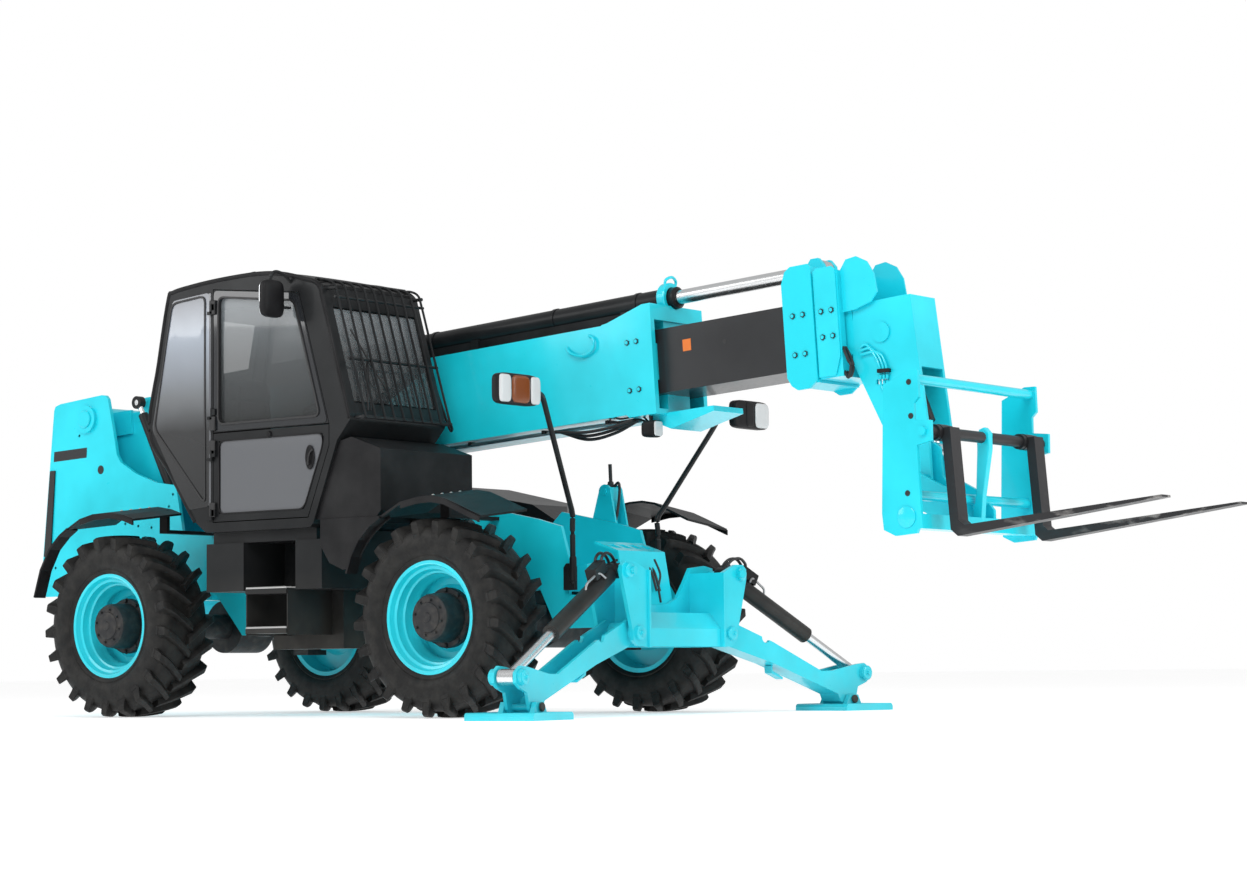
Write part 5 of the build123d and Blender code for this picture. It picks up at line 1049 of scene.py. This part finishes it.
# %% [markdown]
# Each front lamp cluster sits on a bent tube that rises from the chassis and leans out. The right
# one has a white headlamp at either end of its moulded housing and an amber indicator between
# them, the left one a wide headlamp and a blank. Housing and lenses are rounded boxes; the tube is
# a circle carried along its bends.

# %% The lamp clusters
STALK_Y, LAMP_Z, STALK_R = 0.419, 1.876, 0.0165
CUP = [(-0.10, 0.0), (-0.10, 0.022), (0.03, 0.022), (0.045, 0.019), (0.045, 0.0)]
SHOE = [(1.78, 0.745), (1.865, 0.745), (1.865, 0.885), (1.83, 0.905), (1.80, 0.905), (1.78, 0.88)]
LENSES = {
    "right": (("inner_lens", 1.012, 0.044, clear_lens), ("amber_lens", 1.142, 0.082, amber_lens),
              ("outer_lens", 1.278, 0.050, clear_lens)),
    "left": (("outer_lens", 1.252, 0.076, clear_lens), ("lamp_blank", 1.120, 0.042, black_plastic)),
}
for side_name, side in SIDES:
    bends = [(1.847, STALK_Y, 0.78), (1.846, 0.420, 1.10), (1.846, 0.420, 1.20), (1.872, 0.495, 1.31),
             (1.975, 0.795, 1.733), (2.000, 0.868, 1.836), (2.030, 0.93, 1.862), (2.036, 1.00, 1.872)]
    tube = pipe([(x, side * y, z) for x, y, z in bends], STALK_R, 12)
    cup = lathe(CUP, here((1.847, side * STALK_Y, 0.90)), "Z", 24)
    shoe = plate(SHOE, *sorted((side * 0.4005, side * 0.43)))
    piece(f"lamp_stalk_{side_name}", joined(tube, cup, shoe), black_enamel, "chassis", bevel=0.003)
    case = joined(rounded_box((0.034, 0.185, 0.090), (2.026, side * 1.152, LAMP_Z), 6),
                  rounded_box((0.030, 0.020, 0.040), (2.020, side * 0.975, 1.872), 3))
    shell = piece(f"lamp_case_{side_name}", case, black_plastic, "chassis", 50)
    if side_name == "left":
        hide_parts("work_lamps")
    for name, y, half, finish in LENSES[side_name]:
        lens = rounded_box((0.022, half, 0.080), (2.046, side * y, LAMP_Z), 5)
        piece(f"{name}_{side_name}", lens, finish, "chassis", 50)

# %% [markdown]
# A small work lamp hangs under the boom's nose on a looped bar. Its case is a rounded box that
# narrows behind its middle, across and up, by 2.2 times the distance back. Its glass looks forward
# over the forks.

# %% The boom's work lamp
LAMP_AT = here((2.200, -0.10, 1.702))
points, faces = rounded_box((0.055, 0.045, 0.052), (2.200, -0.10, 1.702), 5)
points = points - LAMP_AT
points[:, 1:] *= 1 + 2.2 * np.minimum(points[:, :1], 0)
piece("boom_lamp", (points + LAMP_AT, faces), black_plastic, "boom_outer", 50)
pane = rounded_box((0.006, 0.038, 0.044), (2.253, -0.10, 1.702), 6)
piece("boom_lamp_glass", pane, clear_lens, "boom_outer", 50)
arm = joined(
    pipe([(2.16, -0.10, 1.75), (2.10, -0.115, 1.765), (1.96, -0.13, 1.755), (1.915, -0.135, 1.77),
          (1.93, -0.13, 1.80)], 0.007, 8),
    pipe([(2.17, -0.09, 1.75), (2.12, -0.10, 1.785), (1.98, -0.12, 1.775), (1.93, -0.13, 1.80)], 0.006, 8),
    pipe([(2.20, -0.10, 1.75), (2.20, -0.105, 1.80)], 0.012))
piece("boom_lamp_arm", arm, black_enamel, "boom_outer")

# %% [markdown]
# The stabiliser pins end in round keeper plates held by a bolt. A stepped disc with a hexagon head
# stands for each, put on at the four pins of the frame and at both ends of the rods' pins; the
# feet's pins have plain caps, and each leg has a small hook. The legs point a few degrees forward,
# so what sits on them is turned about the inner pin by the same angle.

# %% The pins of the stabilisers
STAB_X, SWEEP = 2.235, math.radians(9)
LEG_PIN, BARREL_PIN, ROD_PIN, FOOT_PIN = (0.461, 0.483), (0.559, 0.844), (1.728, 0.236), (1.585, 0.072)
KEEPER = [(0, 0), (0, 0.040), (0.006, 0.040), (0.008, 0.037), (0.008, 0.020), (0.012, 0.018), (0.012, 0)]
KEEPER_HEAD = [(0.011, 0), (0.011, 0.013), (0.021, 0.013), (0.024, 0.010), (0.024, 0)]
FOOT_CAP = [(0, 0), (0, 0.026), (0.008, 0.026), (0.012, 0.022), (0.012, 0)]
HOOK = [(0.94, 0.255), (1.03, 0.215), (1.03, 0.20), (0.93, 0.24), (0.925, 0.285), (0.94, 0.29)]


def both_ends(shape, side, pin, reach):
    """A shape that looks along X, at both ends of a pin through a leg, and turned over at its back."""
    ends = [stretched(shape, (way, 1, 1)) for way in (1, -1)]
    places = [here((STAB_X + way * reach, side * pin[0], pin[1])) for way in (1, -1)]
    return joined(*[moved(end, place) for end, place in zip(ends, places)])


def leg_sweep(shape, side):
    """Turned with the leg, about the upright line through its inner pin."""
    about = here((STAB_X, side * LEG_PIN[0], 0))
    return repeated(shape, turn_matrix("Z", -side * SWEEP, about))


keeper = joined(lathe(KEEPER, (0, 0, 0), "X", 32), lathe(KEEPER_HEAD, (0, 0, 0), "X", 6))
frame_pins = [moved(keeper, here((2.380, side * y, z))) for side in (-1, 1) for y, z in (LEG_PIN, BARREL_PIN)]
piece("frame_keepers", joined(*frame_pins), paint, "chassis")
foot_cap = lathe(FOOT_CAP, (0, 0, 0), "X", 24)
for side_name, side in SIDES:
    leg = f"stabiliser_leg_{side_name}"
    rod_pin = both_ends(keeper, side, ROD_PIN, 0.103)
    piece(f"rod_keepers_{side_name}", leg_sweep(rod_pin, side), paint, leg)
    foot = both_ends(foot_cap, side, FOOT_PIN, 0.121)
    piece(f"foot_pins_{side_name}", leg_sweep(foot, side), black_enamel, leg)
    hook = plate([(side * y, z) for y, z in HOOK], STAB_X - 0.03, STAB_X + 0.03, "X")
    piece(f"leg_hook_{side_name}", leg_sweep(hook, side), paint, leg, bevel=0.002)

# %% [markdown]
# Each stabiliser cylinder has a valve block bolted on top near its base, with two hoses that turn
# back to the eye in a short bend, and a steel pipe that leads from it along the barrel. They keep
# between the leg's two walls, which pass on both sides of the barrel as the leg folds up.

# %% The stabiliser cylinders
for side_name, side in SIDES:
    base, end = (np.array((STAB_X, side * y, z)) for y, z in (BARREL_PIN, ROD_PIN))
    turn = (end - base) / np.linalg.norm(end - base)
    rise = np.array((0, side * -turn[2], side * turn[1]))

    def beside(along, up, ahead):
        return tuple(base + turn * along + rise * up + (ahead, 0, 0))

    body = f"stabiliser_barrel_{side_name}"
    block = carried([(-0.036, -0.034), (0.036, -0.034), (0.036, 0.034), (-0.036, 0.034)],
                    here([beside(0.10, 0.085, 0.0), beside(0.24, 0.085, 0.0)]), up=(1, 0, 0))
    piece(f"valve_block_{side_name}", leg_sweep(block, side), black_enamel, body, bevel=0.004)
    route = [(0.17, 0.035, 0.05), (0.20, 0.080, 0.03), (0.28, 0.080, 0.02), (0.33, 0.074, 0.015),
             (0.35, 0.045, 0.01)]
    line = pipe([beside(*corner) for corner in route], 0.007, 8)
    piece(f"barrel_pipe_{side_name}", leg_sweep(line, side), grey_steel, body)
    route = [(0.13, 0.105), (0.11, 0.134), (0.06, 0.142), (0.01, 0.112), (-0.015, 0.070), (-0.020, 0.035)]
    hoses = joined(*[pipe([beside(*corner, k) for corner in route], 0.009, 8) for k in (-0.020, 0.020)])
    piece(f"barrel_hoses_{side_name}", leg_sweep(hoses, side), hose_rubber, body)

# %% [markdown]
# The sway cylinder between its two tall lugs is fed from above: a short elbow and a hose end stand
# over it. Three more hoses bow over to the stabiliser frame, and a fourth hangs in front of it.

# %% The hoses at the front
SWAY_X, SWAY_Y = 1.44, 0.47
CONE = [(1.40, 0.0), (1.40, 0.030), (1.425, 0.030), (1.435, 0.020), (1.45, 0.018), (1.45, 0.0)]
stub = joined(
    pipe([(SWAY_X, SWAY_Y, 1.40), (SWAY_X, SWAY_Y, 1.46), (1.436, SWAY_Y, 1.56)], 0.012, 10, 6),
    lathe(CONE, here((SWAY_X, SWAY_Y, 0)), "Z", 24),
    pipe([(1.47, SWAY_Y, 1.42), (1.50, SWAY_Y, 1.44), (1.51, SWAY_Y, 1.40), (1.50, 0.465, 1.28),
          (1.49, 0.44, 1.16)], 0.009, 8))
piece("sway_hoses", stub, hose_rubber, "chassis")
front = [pipe([(1.72, y, 0.80), (1.86, y, 0.90), (1.97, y, 0.93), (2.06, y, 0.87), (2.11, y, 0.74)], 0.008, 8)
         for y in (-0.10, 0.055, 0.085)]
drop = pipe([(2.12, 0.02, 0.93), (2.14, 0.05, 0.84), (2.15, 0.02, 0.76), (2.15, 0.04, 0.67)], 0.007, 8)
piece("frame_hoses", joined(*front, drop), hose_rubber, "chassis")

# %% [markdown]
# The steps are gratings of bright zinc: five upright strips in a thin folded tray, each with a
# toothed top that gives a boot its grip. A tooth is a small three-sided plate, repeated along.

# %% The steps
STEP_BACK, STEP_FRONT, STEP_OUT, STEP_IN = -0.148, 0.198, -1.158, -0.962
TOOTH, ROWS, TRAY_WALL = 0.008, 5, 0.004
treads = []
for z in (0.789, 0.546):
    inner_out, inner_in, floor = STEP_OUT + TRAY_WALL, STEP_IN - TRAY_WALL, z - 0.03 + TRAY_WALL
    tray = [(STEP_OUT, z - 0.03), (STEP_IN, z - 0.03), (STEP_IN, z), (inner_in, z), (inner_in, floor),
            (inner_out, floor), (inner_out, z), (STEP_OUT, z)]
    treads.append(plate(tray, STEP_BACK, STEP_FRONT, "X"))
    tooth = plate([(STEP_BACK, z), (STEP_BACK + TOOTH, z), (STEP_BACK + TOOTH / 2, z + 0.011)],
                  STEP_OUT, STEP_OUT + TOOTH)
    for row in range(ROWS):
        y = STEP_OUT + row * 0.046
        treads.append(placed(tooth, [(i * TOOTH, y - STEP_OUT, 0) for i in range(43)]))
        treads.append(box_shape(STEP_BACK, STEP_FRONT, y, y + TOOTH, z - 0.027, z))
bright_zinc = Finish("bright_zinc", (0.60, 0.60, 0.59), 0.5, Metallic=0.2).grain(500, 2, 0.0003, 0.4)
piece("step_treads", joined(*treads), bright_zinc, "chassis")

# %% [markdown]
# The roof is one moulded skin over the steel frame: it arches from front to back and rolls down at
# both sides. Its line is a pair of parabolas that meet on the crown, and across the cab its height
# falls towards each edge as the square and the eighth power of the distance from the middle, the
# first for the arch and the second for the roll. Its underside follows a little lower.

# %% The roof skin
CROWN_X, CROWN_Z = -0.07, 2.7535
BACK_FALL, FRONT_FALL = 0.0535 / 0.747**2, 0.118 / 0.569**2
EDGE_ROLL, EDGE_LENGTH, EDGE_DROP = -0.80, 0.06, 0.045
x_line = np.concatenate((np.linspace(-0.86, CROWN_X, 16), np.linspace(-0.02, 0.505, 14)))[:, None]
fall = np.where(x_line < CROWN_X, BACK_FALL, FRONT_FALL) * (x_line - CROWN_X) ** 2
fall = fall + np.clip((EDGE_ROLL - x_line) / EDGE_LENGTH, 0, 1) ** 2 * EDGE_DROP
across = np.linspace(-1, 1, 25)[None, :]
cab_middle, cab_half = (NEAR + FAR) / 2, (FAR - NEAR) / 2 - 0.001
x, y = np.broadcast_arrays(x_line, cab_middle + across * cab_half)
top = np.stack((x, y, CROWN_Z - fall - 0.016 * across**8 - 0.006 * across**2), 2)
low = top[:, ::-1].copy()
low[..., 2] = np.minimum(low[..., 2] - 0.012, CROWN_Z - fall - 0.020)
points, faces = surface(here(np.concatenate((top, low), 1)), close_columns=True)
piece("roof_skin", (points, faces + end_faces(2 * across.size, len(points))), black_plastic, "chassis", 50)

# %% [markdown]
# The side glass of a modern cab is bonded over the frame, so from outside the quarter window is
# one dark sheet that runs to the cab's edge, a pillow whose colour carries a bright band, a painted
# reflection of the horizon. A thin tinted border covers the steel round the door's pane: the pane's
# outline and a larger one, joined as a flat ring.

# %% The tinted borders
border_tint = Finish("tinted_border", (0.020, 0.022, 0.025), 0.08, Coat_Weight=0.5).grain(2.5, 1, 0.003, 0.1)
dark_pane = Finish("quarter_tint_and_painted_reflection", (0.05, 0.055, 0.06), 0.06, Coat_Weight=0.6)
# Painted reflection: a bright band of horizon, wobbled by noise, across the pane's dark tint.
wave = dark_pane.sum("MULTIPLY", dark_pane.noise(3.0, 2), 0.10)
height = dark_pane.sum("ADD", dark_pane.along("Z"), wave)
sky = dark_pane.ramp(dark_pane.span(height, 1.35, 2.70), (0.0, (0.016, 0.017, 0.018)),
                     (0.36, (0.030, 0.031, 0.032)), (0.52, (0.16, 0.17, 0.18)),
                     (0.80, (0.36, 0.40, 0.46)), (1.0, (0.10, 0.11, 0.13)))
dark_pane.join(sky, dark_pane.shader, "Base Color")


def border(inner, outer, y, thick=0.003):
    """A flat ring between two outlines with the same number of corners, facing -Y."""
    outer, inner = rounded_outline(outer, 0.035), rounded_outline(inner, 0.045)
    grid = np.empty((4, len(outer), 3))
    grid[:, :, 0::2] = outer, inner, inner, outer
    grid[:, :, 1] = [[y - thick], [y - thick], [y], [y]]
    return surface(here(grid), close_rows=True, close_columns=True)


PANE = [(-0.462, 1.300), (-0.462, 2.672), (-0.800, 2.646), (-0.990, 1.820), (-0.655, 1.285)]
piece("quarter_pane", pillow(PANE, NEAR - 0.004, 0.004), dark_pane, "chassis", 40)
door_outer = [(-0.426, 1.779), (-0.426, 2.666), (0.305, 2.587), (0.551, 1.779)]
piece("door_border", border(DOOR_WINDOW, door_outer, NEAR), border_tint, "door_upper")
hinges = [box_shape(-0.452, -0.402, NEAR - 0.020, NEAR - 0.002, z - 0.045, z + 0.045)
          for z in (2.56, 1.83, 1.68, 1.29)]
piece("hinge_covers", joined(*hinges), hose_rubber, "chassis", bevel=0.006)

# %% [markdown]
# Between the cab and the front wheel arch a dark sheet fills the gap below the cowl: painted shade,
# the shadow inside the arch and under the cowl. It keeps outside the arch's edge strip, so the
# steered wheel never meets it. It is one flat outline with an arc cut out, a little thickness and
# rounded edges.

# %% The dark sheet of painted shade ahead of the cab
turn = np.radians(np.linspace(152, 118, 9))
arc = np.stack((HALF_BASE + 0.688 * np.cos(turn), AXLE_Z + 0.672 * np.sin(turn)), 1)
# The outline of the dark sheet of painted shade under the cowl and inside the arch.
skirt = [(0.475, 1.197), (0.475, 1.04), (0.55, 0.93), (0.66, 0.885), *arc.tolist(), (1.035, 1.197)]
piece("arch_shade_sheet", plate(skirt, -1.149, -1.139), black_plastic, "chassis", bevel=0.003)

# %% [markdown]
# The tail of the tower: a dark rubbing strip down its rear edge, a round inspection hole with a
# plug, a blank plate, the keeper of the boom's pivot pin and a row of bolts over the rear arch.

# %% The fittings of the tower
TOWER_SIDE = -0.330


def disc(radius, thick, place, steps=32, rim=(0, 0)):
    """A round plate that stands out towards -Y; its rim may be cut back by (along, across)."""
    section = [(0, 0), (0, radius), (rim[0] - thick, radius), (-thick, radius - rim[1]), (-thick, 0)]
    return lathe(section, here(place), "Y", steps)


strip = [(-2.975, 1.10), (-2.905, 1.10), (-2.862, 1.70), (-2.915, 1.70)]
piece("tail_strip", plate(strip, TOWER_SIDE - 0.012, TOWER_SIDE), hose_rubber, "chassis", bevel=0.004)
piece("tower_hole", disc(0.030, 0.002, (-2.399, TOWER_SIDE, 1.683)), hose_rubber, "chassis")
blank = [(-2.885, 1.762), (-2.545, 1.775), (-2.540, 1.845), (-2.880, 1.832)]
piece("blank_plate", plate(blank, TOWER_SIDE - 0.002, TOWER_SIDE), border_tint, "chassis", bevel=0.001)
spots = [(-2.62, 2.02), (-2.46, 2.02), (-2.62, 1.93), (-2.15, 1.30), (-2.02, 1.28), (-1.89, 1.265),
         (-1.76, 1.25), (-1.72, 1.40), (-1.68, 1.48), (-2.86, 1.02), (-2.70, 1.02), (-2.54, 1.02)]
bolts = placed(nut_shape(0.010, 0.010), here([(x, TOWER_SIDE - 0.0005, z) for x, z in spots]))
piece("tower_bolts", bolts, paint, "chassis")
cap = disc(0.060, 0.014, (BOOM_FOOT[0], TOWER_SIDE - 0.022, 2.04), 40, (0.004, 0.005))
piece("pivot_cap", cap, paint, "chassis")

# %% [markdown]
# The carriage's near side plate has a round boss low down, with pin holes above it whose dark
# insides are painted shade. All are discs that stand out from the plate by a few millimetres at most.

# %% The fittings of the carriage
CHEEK_Y = -0.5455
boss = disc(0.058, 0.009, (4.262, CHEEK_Y, 1.075), 40, (0.003, 0.005))
piece("carriage_boss", boss, paint, "carriage")
# Painted shade: dark discs stand for the shaded insides of the pin holes.
hole_shades = [disc(0.016, 0.0015, (x, CHEEK_Y, z), 24) for x, z in ((4.271, 1.203), (4.290, 1.805), (4.300, 1.62))]
piece("carriage_hole_shades", joined(*hole_shades), hose_rubber, "carriage")

# %% [markdown]
# Three painted pipes bend down the near cheek of the head towards the tilt cylinder, held by a
# clamp.

# %% The pipes on the head
HEAD_SIDE = -0.047
lines = [pipe([(3.66, HEAD_SIDE, 2.085 - k), (3.70 + k, HEAD_SIDE, 2.095 - k),
               (3.755 + k, HEAD_SIDE, 2.03), (3.79 + k, HEAD_SIDE, 1.95),
               (3.795 + k, HEAD_SIDE, 1.86), (3.83 + k, HEAD_SIDE, 1.80)], 0.008, 8)
         for k in (0.0, 0.022, 0.044)]
piece("head_pipes", joined(*lines), paint, "boom_head")
clamp = box_shape(3.775, 3.855, -0.060, -0.0345, 1.928, 1.950)
piece("head_clamp", clamp, black_plastic, "boom_head", bevel=0.002)

# %% [markdown]
# The levelling cylinder's rod ends in a black eye, so only the rod itself is bright. The eye's
# cover is a ring about its pin, a little wider than the solid eye.

# %% The levelling cylinder's eye
def tube_ring(low, high, bore, radius, place, steps):
    """A tube along Y from low to high: a four-cornered ring section, closed and spun."""
    section = [(low, bore), (low, radius), (high, radius), (high, bore), (low, bore)]
    return lathe(section, here(place), "Y", steps)


eye = tube_ring(-0.0245, 0.0245, 0.020, 0.044, (-2.139, -0.220, 2.138), 40)
piece("compensation_eye", eye, black_enamel, "compensation_rod")

# %% [markdown]
# The operator's seat is foam under woven cloth, on a suspension in a folded rubber skirt. A cushion
# can't be drawn well by hand, so each pad starts as a slightly small rounded block, is remeshed
# evenly, and is blown up by a cloth simulation with pressure inside and no gravity. How far a
# point may move is capped. The sewn channels come last: near each line the cloth is drawn in by
# depth times exp(-(d / width)^2).

# %% Padded pieces
def stuffed(shape, voxel=0.007, pressure=4.0, cap=0.024, frames=20):
    """A shape swollen by pressure: where a point moves d, it keeps min(|d|, cap) of that."""
    points, faces = shape
    mesh = bpy.data.meshes.new("pad")
    mesh.from_pydata(points.tolist(), [], [row for block in faces for row in block.tolist()])
    pad = link(bpy.data.objects.new("pad", mesh))
    even = pad.modifiers.new("even", "REMESH")
    even.mode, even.voxel_size = "VOXEL", voxel
    pad.data = bpy.data.meshes.new_from_object(pad.evaluated_get(bpy.context.evaluated_depsgraph_get()))
    pad.modifiers.remove(even)
    start = np.empty(len(pad.data.vertices) * 3)
    pad.data.vertices.foreach_get("co", start)
    quads = np.array([list(p.vertices) for p in pad.data.polygons])
    after = start.copy()
    cloth = pad.modifiers.new("cloth", "CLOTH")
    cloth.settings.use_pressure = True
    cloth.settings.uniform_pressure_force = pressure
    cloth.settings.effector_weights.gravity = 0
    cloth.point_cache.frame_start, cloth.point_cache.frame_end = 1, frames
    for frame_number in range(1, frames + 1):
        bpy.context.scene.frame_set(frame_number)
    swollen = pad.evaluated_get(bpy.context.evaluated_depsgraph_get()).to_mesh()
    swollen.vertices.foreach_get("co", after)
    bpy.context.scene.frame_set(1)
    start, after = start.reshape(-1, 3), after.reshape(-1, 3)
    move = after - start
    length = np.linalg.norm(move, axis=1, keepdims=True)
    bpy.data.objects.remove(pad)
    return start + move * np.minimum(1, cap / np.maximum(length, 1e-9)), [quads]


def sewn(shape, lines, sink_axis, depth=0.008, width=0.007):
    """Channels in the half of a pad that lies further along the sink axis: each line is given by
    the axis across it and its place there."""
    points, faces = shape
    points = points.copy()
    for axis, place in lines:
        facing = points[:, sink_axis] > points[:, sink_axis].mean()
        pull = depth * np.exp(-(((points[:, axis] - place) / width) ** 2))
        points[:, sink_axis] -= pull * facing
    return points, faces


SEAT_X, SEAT_Y = -0.325, -0.73
for name, half, centre, sink_axis, lines in (
    ("seat_cushion", (0.218, 0.212, 0.052), (SEAT_X, SEAT_Y, 1.572), 2,
     ((1, -0.11), (1, 0.11), (0, 0.13))),
    ("seat_back", (0.046, 0.212, 0.285), (-0.575, SEAT_Y, 1.880), 0,
     ((1, -0.11), (1, 0.11), (2, 0.12), (2, -0.10))),
):
    channels = [(axis, here(centre)[axis] + off) for axis, off in lines]
    pad_shape = sewn(stuffed(rounded_box(half, centre, 5, 64, 36)), channels, sink_axis)
    pad = piece(name, pad_shape, cloth_finish, "chassis", 60)
    rounding = pad.modifiers.new("smooth", "SUBSURF")
    rounding.levels = rounding.render_levels = 1
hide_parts("seat")

# %% [markdown]
# Under the cushion stand the suspension's folded skirt, the pan, the back's shell and two
# armrests. The skirt is a rounded square whose size swings by a cosine up its height, six folds in
# all; the rest are rounded boxes.

# %% The seat's base
FOLDS, SKIRT_HALF, FOLD_DEPTH, SKIRT_FOOT, SKIRT_HIGH = 6, 0.145, 0.010, 1.205, 0.255


def squared(wave):
    """A sine or cosine raised to 0.4 with its sign kept: a circle becomes a rounded square."""
    return np.sign(wave) * np.abs(wave) ** 0.4


up = np.linspace(0, 1, 61)[:, None]
turn = np.linspace(0, 2 * np.pi, 48, endpoint=False)
size = SKIRT_HALF + FOLD_DEPTH * np.cos(2 * np.pi * FOLDS * up)
x, y = size * squared(np.cos(turn)) - 0.32, size * squared(np.sin(turn)) + SEAT_Y
grid = np.stack((x, y, np.broadcast_to(SKIRT_FOOT + SKIRT_HIGH * up, x.shape)), 2)
piece("seat_skirt", surface(here(grid), close_columns=True), hose_rubber, "chassis", 60)
pan = joined(rounded_box((0.195, 0.190, 0.030), (SEAT_X, SEAT_Y, 1.487), 6),
             rounded_box((0.014, 0.195, 0.290), (-0.628, SEAT_Y, 1.860), 6),
             rounded_box((0.150, 0.026, 0.024), (-0.400, SEAT_Y + 0.262, 1.735), 5),
             rounded_box((0.150, 0.026, 0.024), (-0.400, SEAT_Y - 0.262, 1.735), 5))
piece("seat_shell", pan, black_plastic, "chassis", 50)

# %% [markdown]
# A multi-way lever stands on a console beside the seat, and a small display on a rod sits by the
# wheel. Through the tinted panes they read as dark shapes, which is what makes the cab look lived in.

# %% The controls
LEVER_Y, DISPLAY_Y = SEAT_Y + 0.30, SEAT_Y + 0.20
controls = joined(
    pipe([(-0.02, SEAT_Y + 0.31, 1.20), (-0.02, SEAT_Y + 0.31, 1.55), (0.00, LEVER_Y, 1.72)], 0.009),
    rounded_box((0.020, 0.020, 0.045), (0.003, LEVER_Y, 1.755), 3),
    rounded_box((0.17, 0.060, 0.15), (-0.10, SEAT_Y + 0.315, 1.36), 5),
    rounded_box((0.016, 0.085, 0.060), (0.43, DISPLAY_Y, 1.90), 6),
    pipe([(0.44, DISPLAY_Y, 1.60), (0.44, DISPLAY_Y, 1.86)], 0.012))
piece("cab_controls", controls, black_plastic, "chassis", 50)

# %% [markdown]
# A hose tray closes the gap between the extension cylinder and the outer boom: a shallow black
# channel that carries the cylinder along its whole length.

# %% The tray under the cylinder
section = np.array([(-0.062, 0.266), (0.062, 0.266), (0.062, 0.352), (0.054, 0.352), (0.050, 0.333),
                    (-0.050, 0.333), (-0.054, 0.352), (-0.062, 0.352)])
TRAY_FROM, TRAY_TO = 0.79, 4.56
grid = np.empty((2, len(section), 3))
grid[:, :, 0] = [[TRAY_FROM], [TRAY_TO]]
grid[:, :, 1:] = section
points, faces = surface(on_boom(grid), close_columns=True)
ends = np.array([[0, 1, 2, 3], [4, 5, 6, 7], [0, 3, 4, 7]])
piece("hose_tray", (points, faces + [ends, ends + len(section)]), black_plastic, "boom_outer", bevel=0.004)

# %% [markdown]
# The forks hang on a shaft in black spacer tubes, and a middle lug holds the shaft against
# bending. A tube is a ring profile turned about the shaft's axis; the lug is a plate that leans
# forward from the lower cross member to the shaft.

# %% The forks' shaft
SHAFT = (4.375, 0, 1.534)
TUBES = [(-0.516, -0.412), (-0.298, 0.062), (0.138, 0.498), (0.612, 0.716)]
RINGS = [(-0.440, -0.412), (-0.298, -0.270), (0.470, 0.498), (0.612, 0.640)]
on_shaft = [tube_ring(low, high, bore, radius, SHAFT, 32)
            for spans, bore, radius in ((TUBES, 0.0242, 0.032), (RINGS, 0.030, 0.044)) for low, high in spans]
piece("fork_spacers", joined(*on_shaft), fork_steel, "carriage", 40)
lug = [(4.285, 1.04), (4.355, 1.04), (4.370, 1.22), (4.414, 1.47), (4.414, 1.560), (4.385, 1.592),
       (4.352, 1.580), (4.337, 1.545), (4.337, 1.46), (4.325, 1.22)]
piece("shaft_lug", plate(lug, 0.078, 0.122), paint, "carriage", bevel=0.004)

# %% [markdown]
